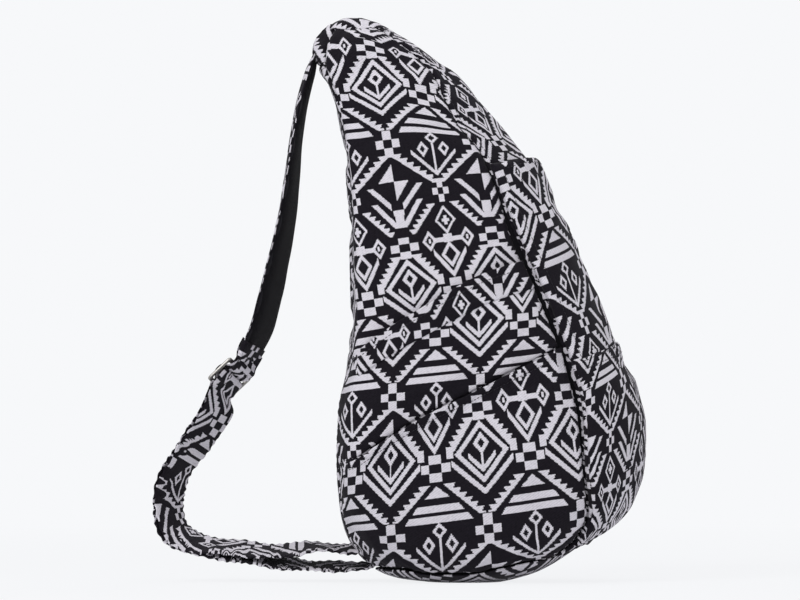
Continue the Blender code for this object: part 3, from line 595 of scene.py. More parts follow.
class Finish(Enum):
    """The finishes of the bag's pieces, each named for what the real one is; the lining's name also says that it paints
    the shadow in the parted near seam.
    """

    JACQUARD = Jacquard()
    # Near-black lining: where the near seam parts, it shows as a painted shadow gap.
    LINING = PlainWeave("nylon_lining_seam_shade", "#09080B", "#131217", sheen=0.02)
    MICROFIBRE = PlainWeave("brushed_microfibre", "#0A090D", "#141218", 0.5, 0.9, 0.02)
    FOAM = PlainWeave("foam_in_black_cloth", "#121116", "#211F26", 1.0)
    TAPE = PlainWeave("polyester_zip_tape", "#131217", "#25232A", 1.2, 0.75)
    COIL = PlainWeave("nylon_coil", "#17161A", "#29272D", 0.4, 0.45, 0.0)
    THREAD = PlainWeave("bonded_nylon_thread", "#17151B", "#302D36", 0.3, 0.6)
    PEWTER = CastMetal()


MATERIALS: dict[Finish, bpy.types.Material] = {finish: finish.value.build() for finish in Finish}


# ---------------------------------------------------------------- cloth on the body


class Slack:
    """How far the stuffed cloth stands off its drawn form, from a cloth simulation on the body's own grid.

    The form already has the stuffed bag's outline, so the mean bulge of each height is taken off.
    """

    def __init__(self, columns: int = 132, rows: int = 96) -> None:
        self.columns, self.rows = columns, rows
        self.offset = np.zeros((rows, columns, 3))
        self.simulate()

    def simulate(self) -> None:
        """Blows the cut cloth up against its seams: pressure inside, no gravity, and the seams held."""
        around, up = np.meshgrid(np.arange(self.columns) * ROUND / self.columns, np.linspace(0.004, 0.996, self.rows))
        start = FORM.lifted(around, up, -1.0 * MM)
        piece = surface("cloth_trial", start, wrap=(False, True))
        seam = np.minimum(np.abs(np.mod(around, 3.0) - 1.0), np.abs(np.mod(around, 3.0) - 2.0))
        pocket_seam = np.minimum(np.abs(up - line_height(LOWER_MOUTH, around)), np.abs(up - line_height(BASE_SEAM, around)))
        held = (seam < 0.03) | ((pocket_seam < 0.008) & (np.mod(around, 3.0) > 0.95) & (np.mod(around, 3.0) < 2.05))
        held |= (up < 0.02) | (up > 0.985)
        group = piece.vertex_groups.new(name="seams")
        group.add([int(i) for i in np.nonzero(held.ravel())[0]], 1.0, "REPLACE")
        cloth = piece.modifiers.new("cloth", "CLOTH")
        cloth.settings.quality = 5
        cloth.settings.mass = 0.3
        cloth.settings.tension_stiffness = cloth.settings.compression_stiffness = 12.0
        cloth.settings.bending_stiffness = 0.6
        cloth.settings.use_pressure = True
        cloth.settings.uniform_pressure_force = 4.0
        cloth.settings.shrink_min = -0.035
        cloth.settings.vertex_group_mass = group.name
        cloth.settings.effector_weights.gravity = 0.0
        cloth.collision_settings.use_collision = False
        cloth.point_cache.frame_start, cloth.point_cache.frame_end = 1, 20
        scene = bpy.context.scene
        for step in range(1, 21):
            scene.frame_set(step)
        graph = bpy.context.evaluated_depsgraph_get()
        mesh = piece.evaluated_get(graph).to_mesh()
        found = np.empty(len(mesh.vertices) * 3, np.float32)
        mesh.vertices.foreach_get("co", found)
        piece.evaluated_get(graph).to_mesh_clear()
        scene.frame_set(1)
        bpy.data.objects.remove(piece, do_unlink=True)
        moved = found.reshape(self.rows, self.columns, 3) - start
        out = (moved * FORM.normal(around, up)).sum(-1)
        free = out - out.mean(axis=1, keepdims=True) - 0.8 * MM
        capped = np.clip(free, -1.8 * MM, 0.8 * MM) * np.clip(seam / 0.12, 0, 1)
        self.offset = capped[..., None] * FORM.normal(around, up)
        log.info("cloth trial: moved %.2f to %.2f mm", out.min() / MM, out.max() / MM)

    def at(self, around: np.ndarray, up: np.ndarray) -> np.ndarray:
        """Offsets at any place, blended between the four nearest grid points."""
        column = np.mod(around, ROUND) * self.columns / ROUND
        row = np.clip((up - 0.004) / 0.992, 0, 1) * (self.rows - 1)
        left, low = np.floor(column).astype(int), np.clip(np.floor(row).astype(int), 0, self.rows - 2)
        u, v = (column - left)[..., None], (row - low)[..., None]
        left, right = left % self.columns, (left + 1) % self.columns
        below = self.offset[low, left] * (1 - u) + self.offset[low, right] * u
        above = self.offset[low + 1, left] * (1 - u) + self.offset[low + 1, right] * u
        return below * (1 - v) + above * v


SLACK = Slack()


@dataclass(frozen=True)
class Grain:
    """Where the pattern lies on a piece, in millimetres of cloth: a cross's middle, and the ways across and down."""

    start: tuple[float, float]
    across: tuple[float, float]
    down: tuple[float, float]

    def cloth(self, side: np.ndarray, rise: np.ndarray) -> np.ndarray:
        """The pattern's own metres for places on the cloth, by solving for the two ways.

        Args:
            side: Millimetres across the piece.
            rise: Millimetres up the piece.

        Returns:
            UV, one pair a point.
        """
        side, rise = np.broadcast_arrays(side, rise)
        ways = np.linalg.inv(np.array([self.across, self.down]).T)
        shift = np.stack([side - self.start[0], rise - self.start[1]], -1) @ ways.T
        motif = Finish.JACQUARD.value
        return shift * np.array([motif.column, -motif.repeat]) * MM


@dataclass
class Patch:
    """A cloth piece sewn on the body between two heights and two places round it."""

    name: str
    around: tuple[Callable[[np.ndarray], np.ndarray], Callable[[np.ndarray], np.ndarray]]
    low: Callable[[np.ndarray], np.ndarray]
    high: Callable[[np.ndarray], np.ndarray]
    lift: float
    grain: Grain
    size: tuple[int, int] = (100, 200)
    anchor: float = 1.5
    seam_dip: float = 2.0
    pucker: float = 0.45
    pucker_pitch: float = 7.0
    wall: float = 1.0
    valley_reach: float = 0.5
    take_up: float = 0.0
    extra: Callable[["Patch", dict[str, np.ndarray]], np.ndarray] | None = None
    reach: dict[str, np.ndarray] = field(default_factory=dict)
    points: np.ndarray = field(default_factory=lambda: np.zeros(0))
    outward: np.ndarray = field(default_factory=lambda: np.zeros(0))

    def build(self) -> bpy.types.Object:
        """The sheet: the form lifted, with the slack, the dip and puckers at its seams, and its own extra relief.

        Returns:
            The mesh object with its thickness.
        """
        share = np.linspace(0, 1, self.size[1])[:, None]
        part = np.linspace(0, 1, self.size[0])
        middle = (self.around[0](np.array(0.3)) + self.around[1](np.array(0.3))) / 2
        guess = self.low(middle) + (self.high(middle) - self.low(middle)) * share
        left, right = self.around[0](guess), self.around[1](guess)
        around = left + (right - left) * part
        low, high = self.low(around), self.high(around)
        up = low + (high - low) * share
        bare = FORM.lifted(around, up, self.lift * MM)
        run, climb = spans(bare, 1) / MM, spans(bare, 0) / MM
        left, right, below, above = run, run[:, -1:] - run, climb, climb[-1:] - climb
        self.reach = dict(around=around, up=up, left=left, right=right, below=below, above=above,
                          run=run, climb=climb, share=share + 0 * up)
        edge = np.minimum(np.minimum(left, right), np.minimum(below, above))
        dip = -self.seam_dip * np.exp(-((edge / 1.8) ** 1.4))
        wobble = 1.3 * np.sin(climb / 23.0) + 0.9 * np.sin(run / 17.0)
        sides = np.sin(2 * np.pi * climb / self.pucker_pitch + wobble) * np.exp(-np.minimum(left, right) / 7.0)
        ends = np.sin(2 * np.pi * run / self.pucker_pitch + wobble) * np.exp(-np.minimum(below, above) / 7.0)
        dents = 0.5 * np.sin(run / 19.0 + climb / 43.0) * np.sin(climb / 31.0 - run / 57.0)
        relief = dip + self.pucker * (sides + ends) + dents * np.clip(edge / 12.0, 0, 1)
        relief = relief - valley(around, up) * (around < SEAM_AT + self.valley_reach)
        if self.extra:
            relief = relief + self.extra(self, self.reach)
        points = FORM.lifted(around, up, (self.lift + relief) * MM) + SLACK.at(around, up)
        self.points, self.outward = points, FORM.normal(around, up)
        column = int(np.argmin(np.abs(around[len(around) // 2] - self.anchor)))
        side = run - run[:, column : column + 1] + bare[:, column : column + 1, 0] / MM
        row = self.size[1] // 2
        rise = climb - climb[row] + bare[row, :, 2] / MM
        rise = rise + self.take_up * np.exp(-(((rise - 392.0) / 24.0) ** 2))
        piece = surface(self.name, points, self.grain.cloth(side, rise))
        cloth_wall(piece, self.wall * MM)
        return piece


class Edge(Enum):
    """The four edges of a patch, by the distance that is measured from each."""

    LEFT = "left"
    RIGHT = "right"
    BELOW = "below"
    ABOVE = "above"


def stitch_line(patch: Patch, edge: Edge, distance: float, trim: float = 4.0) -> tuple[np.ndarray, np.ndarray]:
    """A sewing line at a distance from one edge of a built patch, by hat weights over the grid's rows or columns.

    Args:
        patch: The built patch.
        edge: The edge that the line follows.
        distance: Millimetres from it.
        trim: Millimetres left free at the line's ends.

    Returns:
        Points of the line and the outward ways there.
    """
    gap = patch.reach[edge.value]
    axis = 0 if edge in (Edge.BELOW, Edge.ABOVE) else 1
    pitch = float(np.abs(np.diff(gap, axis=axis)).max())
    weight = np.clip(1 - np.abs(gap - distance) / pitch, 0, None)[..., None]
    total = np.maximum(weight.sum(axis), 1e-9)
    line, out = (weight * patch.points).sum(axis) / total, (weight * patch.outward).sum(axis) / total
    at = spans(line[None], 1)[0] / MM
    inside = (at > trim) & (at < at[-1] - trim)
    return line[inside], out[inside]


@dataclass
class Stitching:
    """Topstitches in bonded thread: short tapered bars, half sunk in the cloth, set end to end along sewing lines."""

    pitch: float = 3.2
    length: float = 2.3
    thread: float = 0.55
    lines: list[tuple[np.ndarray, np.ndarray]] = field(default_factory=list)

    def build(self) -> None:
        """All stitches as one array of small four-sided bars, each of three spans and two end faces."""
        bars = [self.bars(line, out) for line, out in self.lines]
        points = np.concatenate(bars)
        count = len(points)
        base = np.arange(16).reshape(4, 4)
        sides = np.stack([base[:-1], np.roll(base[:-1], -1, 1), np.roll(base[1:], -1, 1), base[1:]], -1).reshape(-1, 4)
        quads = np.concatenate([sides, base[:1, ::-1], base[-1:]])
        whole = (quads[None] + (np.arange(count) * 16)[:, None, None]).reshape(-1, 4)
        piece = from_faces("topstitches", points.reshape(-1, 3), whole[:, ::-1])
        hand_over(piece, MATERIALS[Finish.THREAD])

    def bars(self, line: np.ndarray, out: np.ndarray) -> np.ndarray:
        """Corner points of one line's bars: four rings of four corners each, narrow at both ends."""
        at = spans(line[None], 1)[0] / MM
        starts = np.arange(self.pitch, at[-1] - self.pitch, self.pitch)
        along_bar = np.array([0.0, 0.2, 0.8, 1.0]) * self.length
        where = (starts[:, None] + along_bar[None]).ravel()
        centre = np.stack([np.interp(where, at, line[:, k]) for k in range(3)], 1).reshape(-1, 4, 3)
        normal = np.stack([np.interp(where, at, out[:, k]) for k in range(3)], 1).reshape(-1, 4, 3)
        normal /= np.linalg.norm(normal, axis=-1, keepdims=True)
        run = centre[:, -1:] - centre[:, :1]
        run /= np.linalg.norm(run, axis=-1, keepdims=True)
        side = np.cross(normal, run + 0 * normal)
        size = np.array([0.35, 1.0, 1.0, 0.35])[None, :, None, None] * self.thread / 2 * MM
        corner = np.array([(1, 0), (0, 1), (-1, 0), (0, -1)], float)
        ring = corner[:, :1] * side[:, :, None] + corner[:, 1:] * normal[:, :, None]
        sunk = centre + normal * 0.12 * MM
        return (sunk[:, :, None] + ring * size).reshape(len(starts), 16, 3)


STITCHES = Stitching()


def fixed(place: float) -> Callable[[np.ndarray], np.ndarray]:
    """A function for an edge at one place round the body."""
    return lambda up: place + 0 * up


def shadow_gap_edge(inset: float, wide: float) -> Callable[[np.ndarray], np.ndarray]:
    """A function for an edge beside the near seam, which stands back by the inset and further where the seam parts,
    baring the near-black lining as a painted shadow gap.
    """
    return lambda up: SEAM_AT + inset + wide * parting(up)


def strap_seam(sign: float, start: float, inset: float) -> Callable[[np.ndarray], np.ndarray]:
    """A function for the seam between a broad face and the strap's side, which comes into view near the apex.

    Args:
        sign: 1 on the near half and -1 on the far half.
        start: Place round the body that the seam is counted from.
        inset: Share of a side that the edge stands back from the seam.

    Returns:
        The edge's place round the body at a share of the height.
    """
    return lambda up: start + sign * (smooth(STRAP_SEAM, up) + inset)


def flat_height(line: Table, shift: float = 0.0) -> Callable[[np.ndarray], np.ndarray]:
    """A function for the height of a sewn line, moved up by a share of the height."""
    return lambda around: line_height(line, around) + shift


def level(share: float) -> Callable[[np.ndarray], np.ndarray]:
    """A function for one height all round."""
    return lambda around: share + 0 * around


def sheet_area(piece: bpy.types.Object) -> tuple[float, float, float]:
    """Width, length and area of a piece's cloth before its thickness, from the sizes of its faces."""
    mesh = piece.data
    areas = np.empty(len(mesh.polygons), np.float32)
    mesh.polygons.foreach_get("area", areas)
    points = np.empty(len(mesh.vertices) * 3, np.float32)
    mesh.vertices.foreach_get("co", points)
    span = np.ptp(points.reshape(-1, 3), axis=0)
    area = float(areas.sum())
    length = float(max(span[2], 0.03))
    return max(area / length * 1.02, 0.011), length, area


@dataclass
class Shell:
    """The bag's outer cloth: broad faces, front gusset, strap-side panel, apex tab and base, over the lined body."""

    near_grain: Grain = Grain((-55.2, 261.8), (68.5, 12.0), (27.0, -166.3))
    far_grain: Grain = Grain((40.0, 240.0), (66.0, -9.5), (-24.0, -164.0))
    front_grain: Grain = Grain((-21.2, 385.7), (49.3, 5.0), (91.9, -134.7))
    side_grain: Grain = Grain((0.0, 180.0), (60.0, 14.0), (-16.0, -163.0))

    def build_core(self) -> None:
        """The lined, stuffed inside: the form itself as a closed loft, seen only in the seams and mouths; its near
        black in the parted near seam is a painted shadow gap.
        """
        around, up = np.meshgrid(np.arange(96) * ROUND / 96, np.linspace(0.0, 1.0, 90) ** 1.0)
        points = FORM.lifted(around, np.clip(up, 0.002, 0.998), (-0.4 - valley(around, up)) * MM)
        points = points + SLACK.at(around, up)
        bottom, top = points[:1].mean(1, keepdims=True), points[-1:].mean(1, keepdims=True)
        rings = [bottom + (points[:1] - bottom) * s for s in (0.02, 0.5)]
        caps = [top + (points[-1:] - top) * s for s in (0.5, 0.02)]
        piece = surface("stuffed_lining_seam_shade", np.concatenate([*rings, points, *caps]), wrap=(False, True))
        close_ends(piece, 96)
        hand_over(piece, MATERIALS[Finish.LINING], ["stuffed_body"])

    def build_panels(self) -> None:
        """The five cloth panels, each a patch with dipped, puckered seams."""
        inset = 0.004
        # Near and front faces stand back from the near seam where it parts, baring the lining as a painted shadow gap.
        near = Patch("near_face", (strap_seam(1, 0.0, inset), shadow_gap_edge(-inset, -0.008)), flat_height(BASE_SEAM), level(0.996), 1.6,
                     self.near_grain, (110, 230), take_up=5.5, extra=self.apex_fold)
        far = Patch("far_face", (fixed(FAR_SEAM_AT + inset), strap_seam(-1, ROUND, inset)), flat_height(BASE_SEAM), level(0.996), 1.6,
                    self.far_grain, (90, 190), anchor=4.5, extra=self.shoulder)
        front = Patch("front_face", (shadow_gap_edge(inset, 0.022), fixed(FAR_SEAM_AT - inset)), flat_height(BASE_SEAM), level(0.996), 1.6,
                      self.front_grain, (120, 200), anchor=SEAM_AT, pucker=0.5, extra=self.shoulder)
        side = Patch("strap_side_face", (strap_seam(-1, 0.0, -inset), strap_seam(1, 0.0, -inset)), level(0.028), level(0.92), 1.6,
                     self.side_grain, (80, 200), anchor=0.0)
        tab = Patch("apex_cover", (fixed(0.06 - CORNER_AT), fixed(CORNER_AT - 0.06)), level(0.9225), level(0.994), 1.7,
                    self.side_grain, (60, 44), anchor=0.0, pucker=0.2, extra=self.tab_crown)
        nodes = {"near_face": "near_panel", "far_face": "far_panel", "front_face": "front_gusset",
                 "strap_side_face": "side_panel", "apex_cover": "apex_tab"}
        for patch in (near, far, front, side, tab):
            piece = patch.build()
            if patch is front:
                STITCHES.lines += [stitch_line(patch, edge, 4.0, 8.0) for edge in (Edge.LEFT, Edge.RIGHT)]
            width, length, area = sheet_area(piece)
            hand_over(piece, MATERIALS[Finish.JACQUARD], [nodes[patch.name]])

    def tab_crown(self, patch: Patch, reach: dict[str, np.ndarray]) -> np.ndarray:
        """The tab rounds over the strap's sewn end: it stands off most in its middle and lies down at all four edges."""
        edge = np.minimum(np.minimum(reach["left"], reach["right"]), np.minimum(reach["below"], reach["above"] * 2.2))
        return 3.6 * ramp(edge, 0.0, 11.0)

    def apex_fold(self, patch: Patch, reach: dict[str, np.ndarray]) -> np.ndarray:
        """A soft crease down from the apex beside the strap's corner: a narrow valley that dies out below."""
        fade = np.clip((reach["up"] - 0.80) / 0.12, 0, 1)
        return self.shoulder(patch, reach) - 1.3 * fade * np.exp(-(((reach["left"] - 9.0) / 3.5) ** 2))

    def shoulder(self, patch: Patch, reach: dict[str, np.ndarray]) -> np.ndarray:
        """The stuffed apex: the cloth stands off a little more over the highest tenth, up to its very edge."""
        return 1.6 * ramp(reach["up"], 0.86, 0.95) + patch.seam_dip * np.exp(-((reach["above"] / 1.8) ** 1.4))

    def build_cap(self) -> None:
        """The folded cap where the panels meet at the apex: the form's highest rows, then rings that close in the middle."""
        columns = np.arange(120) * ROUND / 120
        share = np.linspace(0, 1, 12)[:, None]
        up = 0.984 + 0.016 * share + 0 * columns
        lift = 2.4 + 1.2 * ramp(share, 0.0, 0.5) + 0.2 * np.sin(columns * 9.0) * (1 - share)
        points = FORM.lifted(np.broadcast_to(columns, up.shape), up, lift * MM)
        centre = points[-1:].mean(1, keepdims=True)
        crown = [centre + (points[-1:] - centre) * s + np.array([0, 0, 0.4 * MM * (1 - s * s)]) for s in (0.85, 0.6, 0.35, 0.1)]
        points = np.concatenate([points, *crown])
        out = spans(points[::-1], 0)[::-1] / MM
        middle = points[-1].mean(0)
        plan = points[..., :2] - middle[:2]
        plan /= np.maximum(np.linalg.norm(plan, axis=-1, keepdims=True), 1e-9)
        meridian = FORM.lifted(1.5, np.linspace(0.509, 1.0, 200), 1.6 * MM)
        top = meridian[0, 2] / MM + spans(meridian[None], 1)[0, -1] / MM
        cloth = self.near_grain.cloth(middle[0] / MM + out * plan[..., 0], top + out * plan[..., 1])
        piece = surface("apex_cap_cloth", points, cloth, wrap=(False, True))
        close_ends(piece, 120, bottom=False)
        area = sheet_area(piece)[2]
        cloth_wall(piece, 0.8 * MM)
        hand_over(piece, MATERIALS[Finish.JACQUARD])

    def build_base(self) -> None:
        """The base panel: the form's lowest rows over a flat disc, closed in the middle."""
        columns = np.arange(160) * ROUND / 160
        seam = line_height(BASE_SEAM, columns)
        share = np.linspace(0, 1, 22)[:, None] ** 1.5
        up = seam * share
        points = FORM.lifted(np.broadcast_to(columns, up.shape), up, 1.4 * MM + 0 * up)
        points[..., 2] = np.maximum(points[..., 2], 1.0 * MM)
        centre = points[:1].mean(1, keepdims=True)
        flat = np.array([1.0, 1.0, 0.0])
        discs = [(centre + (points[:1] - centre) * s) * flat + (1 - flat) * MM for s in (0.02, 0.35, 0.7, 0.93)]
        points = np.concatenate([*discs, points])
        ways = points[..., :2] / MM
        cloth = Grain((0.0, 0.0), (66.0, 8.0), (8.0, -163.0)).cloth(ways[..., 0], ways[..., 1])
        piece = surface("base_face", points, cloth, wrap=(False, True))
        close_ends(piece, 160, top=False)
        cloth_wall(piece, 1.0 * MM, 1.0)
        area = sheet_area(piece)[2]
        hand_over(piece, MATERIALS[Finish.JACQUARD], ["base_panel"])


def close_ends(piece: bpy.types.Object, count: int, bottom: bool = True, top: bool = True) -> None:
    """Closes a ringed grid's first and last ring with one face each.

    Args:
        piece: The mesh object, its rings in order.
        count: Vertices in a ring.
        bottom: Whether the first ring is closed.
        top: Whether the last ring is closed.
    """
    mesh = piece.data
    points = np.empty(len(mesh.vertices) * 3, np.float32)
    mesh.vertices.foreach_get("co", points)
    total = len(mesh.vertices)
    bm = bmesh_of(mesh)
    bm.verts.ensure_lookup_table()
    if bottom:
        bm.faces.new([bm.verts[i] for i in reversed(range(count))]).smooth = True
    if top:
        bm.faces.new([bm.verts[i] for i in range(total - count, total)]).smooth = True
    bm.to_mesh(mesh)
    bm.free()


def bmesh_of(mesh: bpy.types.Mesh) -> Any:
    """A bmesh copy of a mesh."""

    made = bmesh.new()
    made.from_mesh(mesh)
    return made


@dataclass
class Pockets:
    """Two slip pockets and their welt on the near face, and the stuffed front pocket with its pouch."""

    upper_grain: Grain = Grain((4.6, 235.8), (76.8, 6.8), (2.4, -166.4))
    welt_grain: Grain = Grain((-41.3, 195.0), (66.7, 9.5), (20.0, -161.0))
    lower_grain: Grain = Grain((2.7, 137.9), (76.5, 9.7), (14.6, -188.7))
    pocket_grain: Grain = Grain((20.0, 324.7), (49.5, 14.8), (55.0, -171.1))
    pouch_grain: Grain = Grain((87.0, 217.6), (37.0, 16.0), (-2.5, -152.5))
    full: float = 7.0

    def build_slip(self) -> None:
        """The slip pockets on the near face: flat cloth with a gathered, slightly gaping mouth."""
        # The right edge stands back where the near seam parts, to bare the lining as a painted shadow gap.
        left, right = fixed(0.58), shadow_gap_edge(-0.006, -0.008)
        upper = Patch("upper_slip_pocket_cloth", (left, right), flat_height(LOWER_MOUTH, 0.004),
                      flat_height(UPPER_MOUTH), 3.2, self.upper_grain, (110, 90), seam_dip=0.9, extra=self.gape)
        welt = Patch("pocket_welt_cloth", (left, right), flat_height(UPPER_MOUTH, -0.049), flat_height(UPPER_MOUTH),
                     4.6, self.welt_grain, (110, 18), seam_dip=0.8, pucker=0.25, extra=self.gape)
        lower = Patch("lower_slip_pocket_cloth", (left, right), flat_height(BASE_SEAM, 0.004),
                      flat_height(LOWER_MOUTH), 3.4, self.lower_grain, (120, 120), seam_dip=0.9, extra=self.gathers)
        nodes = {upper.name: "upper_slip_pocket", welt.name: "pocket_welt", lower.name: "lower_slip_pocket"}
        for patch in (upper, welt, lower):
            piece = patch.build()
            if patch is not upper:
                STITCHES.lines.append(stitch_line(patch, Edge.ABOVE, 6.0, 12.0))
            width, length, area = sheet_area(piece)
            hand_over(piece, MATERIALS[Finish.JACQUARD], [nodes[patch.name]])

    def gape(self, patch: Patch, reach: dict[str, np.ndarray]) -> np.ndarray:
        """The mouth stands off most halfway along and falls back to the seams at its ends."""
        total = reach["left"] + reach["right"]
        along = np.sin(np.pi * np.clip(reach["left"] / total, 0, 1)) ** 0.7
        free = ramp(reach["left"], 27.0, 52.0)
        close = -(patch.lift - 2.1) * (1 - free)
        hem = 1.3 * np.exp(-((reach["above"] / 1.8) ** 1.4))
        return close + free * (2.6 * along * np.exp(-reach["above"] / 14.0) + hem)

    def gathers(self, patch: Patch, reach: dict[str, np.ndarray]) -> np.ndarray:
        """The elastic mouth's gathers: uneven short folds down from the hem, and the hem's own roll."""
        phase = reach["run"] / 8.5 * 2 * np.pi + 1.7 * np.sin(reach["run"] / 13.0)
        free = ramp(reach["left"], 27.0, 52.0)
        folds = 1.5 * np.sin(phase) * np.exp(-reach["above"] / 11.0)
        lip = 1.6 * np.exp(-((reach["above"] / 6.0) ** 2)) + 0.7 * np.exp(-(((reach["above"] - 3.0) / 2.2) ** 2))
        return (folds + lip) * free + self.gape(patch, reach)

    def roll(self, patch: Patch, reach: dict[str, np.ndarray]) -> np.ndarray:
        """Fullness of the stuffed pocket: a quarter round at every edge, full depth inside, thinner at the base."""
        edge = np.minimum(np.minimum(reach["left"], reach["right"]), reach["above"])
        radius = 5.5
        rise = np.sqrt(1 - (1 - np.clip(edge / radius, 0, 1)) ** 2)
        total = reach["left"] + reach["right"]
        crown = 0.78 + 0.22 * np.sin(np.pi * np.clip(reach["left"] / total, 0, 1)) ** 0.5
        low = np.clip(reach["below"] / 40.0, 0, 1) * 0.55 + 0.45
        gap = np.clip(reach["below"] / 3.0, 0, 1)
        return self.full * rise * crown * low * gap + 1.1 * np.exp(-((edge / 1.6) ** 1.3))

    def build_front(self) -> None:
        """The stuffed front pocket as a rolled-edge pad, and the flat pouch that wraps its lower half."""
        edge = 0.008
        # The pocket and pouch stand back where the near seam parts, baring the lining as a painted shadow gap.
        pocket = Patch("front_pocket_cloth", (shadow_gap_edge(edge, 0.020), fixed(3.86)), flat_height(BASE_SEAM, 0.006),
                       flat_height(POCKET_TOP), 2.7, self.pocket_grain, (130, 170), anchor=SEAM_AT, seam_dip=1.1,
                       pucker=0.5, wall=1.1, valley_reach=0.0, extra=self.roll)
        piece = hand_over(pocket.build(), MATERIALS[Finish.JACQUARD], ["front_pocket"])
        STITCHES.lines += [stitch_line(pocket, edge, 7.0, 10.0) for edge in (Edge.LEFT, Edge.RIGHT, Edge.ABOVE)]
        pouch = Patch("front_pouch_cloth", (shadow_gap_edge(0.016, 0.020), fixed(3.845)), flat_height(BASE_SEAM, 0.03),
                      flat_height(POUCH_TOP), 4.1, self.pouch_grain, (130, 90), anchor=SEAM_AT, seam_dip=0.8,
                      pucker=0.45, valley_reach=0.0, extra=self.pouch_roll)
        piece = pouch.build()
        STITCHES.lines += [stitch_line(pouch, Edge.ABOVE, 2.0, 4.0), stitch_line(pouch, Edge.ABOVE, 8.0, 4.0)]
        width, length, area = sheet_area(piece)
        hand_over(piece, MATERIALS[Finish.JACQUARD], ["front_pouch"])

    def pouch_roll(self, patch: Patch, reach: dict[str, np.ndarray]) -> np.ndarray:
        """The pouch follows the pocket's fullness and stands off a little more at its mouth."""
        total = reach["left"] + reach["right"]
        edge = np.minimum(reach["left"], reach["right"]) + 0.9
        rise = np.sqrt(1 - (1 - np.clip(edge / 5.5, 0, 1)) ** 2)
        crown = 0.78 + 0.22 * np.sin(np.pi * np.clip((reach["left"] + 2) / (total + 4), 0, 1)) ** 0.5
        low = np.clip((reach["below"] + 10.0) / 40.0, 0, 1) * 0.55 + 0.45
        belly = 1 + 0.25 * ramp(reach["above"], 0.0, 35.0)
        return self.full * rise * crown * low * belly + 0.35 * np.exp(-reach["above"] / 9.0)


# ---------------------------------------------------------------- strap, band and slider


@dataclass(frozen=True)
class StrapRoute:
    """The strap's way in space: reach out from the bag's back edge and share of its height, as the solids have it."""

    reach: float = 0.139
    way: Table = (
        (0.098, 0.962), (0.116, 0.951), (0.136, 0.936), (0.160, 0.912), (0.196, 0.872), (0.223, 0.832), (0.248, 0.780),
        (0.271, 0.710), (0.301, 0.640), (0.343, 0.575), (0.386, 0.515), (0.436, 0.455), (0.484, 0.420), (0.524, 0.396),
    )
    slider: tuple[float, float] = (0.622, 0.3615)
    band: Table = (
        (0.658, 0.328), (0.735, 0.281), (0.833, 0.238), (0.920, 0.196), (0.968, 0.155), (0.966, 0.123),
        (0.938, 0.092), (0.858, 0.071), (0.745, 0.0615), (0.620, 0.055), (0.450, 0.0475), (0.290, 0.0435),
        (0.130, 0.0440),
    )
    slider_twist: float = 30.0
    slider_lean: float = 15.0

    def point(self, reach: float, up: float) -> Vector:
        """A point of the route."""
        back = FORM.width * float(smooth(FORM.back_edge, 0.21))
        return Vector((back - reach * self.reach, 0.0, up * FORM.height))

    def slider_frame(self) -> tuple[Vector, Vector, Vector, Vector]:
        """Middle of the slider, and its ways along the band, across it and towards the bag."""
        straight = (self.point(*self.band[0]) - self.point(*self.way[-1])).normalized()
        lean = math.radians(self.slider_lean)
        along = math.cos(lean) * straight - math.sin(lean) * straight.cross(Vector((0, 1, 0))).normalized()
        inward = along.cross(Vector((0, 1, 0))).normalized()
        turn = math.radians(self.slider_twist)
        wide = math.cos(turn) * Vector((0, 1, 0)) + math.sin(turn) * inward
        return self.point(*self.slider), along, wide, math.cos(turn) * inward - math.sin(turn) * Vector((0, 1, 0))


ROUTE = StrapRoute()


def sampled(points: Sequence[Any], spacing: float) -> tuple[np.ndarray, np.ndarray]:
    """Points a set distance apart on a Catmull-Rom curve, and their shares of its length.

    Args:
        points: The points that the curve passes.
        spacing: Distance between results, in metres.

    Returns:
        The points and their shares of the whole length.
    """
    given = np.array([tuple(p) for p in points], float)
    padded = np.vstack([2 * given[0] - given[1], given, 2 * given[-1] - given[-2]])
    a, b, c, d = (padded[i : i + len(given) - 1, None] for i in range(4))
    t = np.linspace(0, 1, 24, endpoint=False)[None, :, None]
    fine = 0.5 * (2 * b + (c - a) * t + (2 * a - 5 * b + 4 * c - d) * t**2 + (3 * b - a - 3 * c + d) * t**3)
    fine = np.vstack([fine.reshape(-1, 3), given[-1:]])
    chord = np.concatenate([[0], np.cumsum(np.linalg.norm(np.diff(fine, axis=0), axis=1))])
    at = np.linspace(0, chord[-1], max(4, round(chord[-1] / spacing) + 1))
    return np.stack([np.interp(at, chord, fine[:, k]) for k in range(3)], 1), at / chord[-1]


def frames_along(centre: np.ndarray, twist: np.ndarray) -> tuple[np.ndarray, np.ndarray]:
    """Width and thickness ways along a route, turned about it by the twist in degrees."""
    along = np.gradient(centre, axis=0)
    along /= np.linalg.norm(along, axis=1, keepdims=True)
    inward = np.cross(along, (0, 1, 0))
    inward /= np.linalg.norm(inward, axis=1, keepdims=True)
    turn = np.radians(twist)[:, None]
    side = np.array((0.0, 1.0, 0.0))
    return np.cos(turn) * side + np.sin(turn) * inward, np.cos(turn) * inward - np.sin(turn) * side


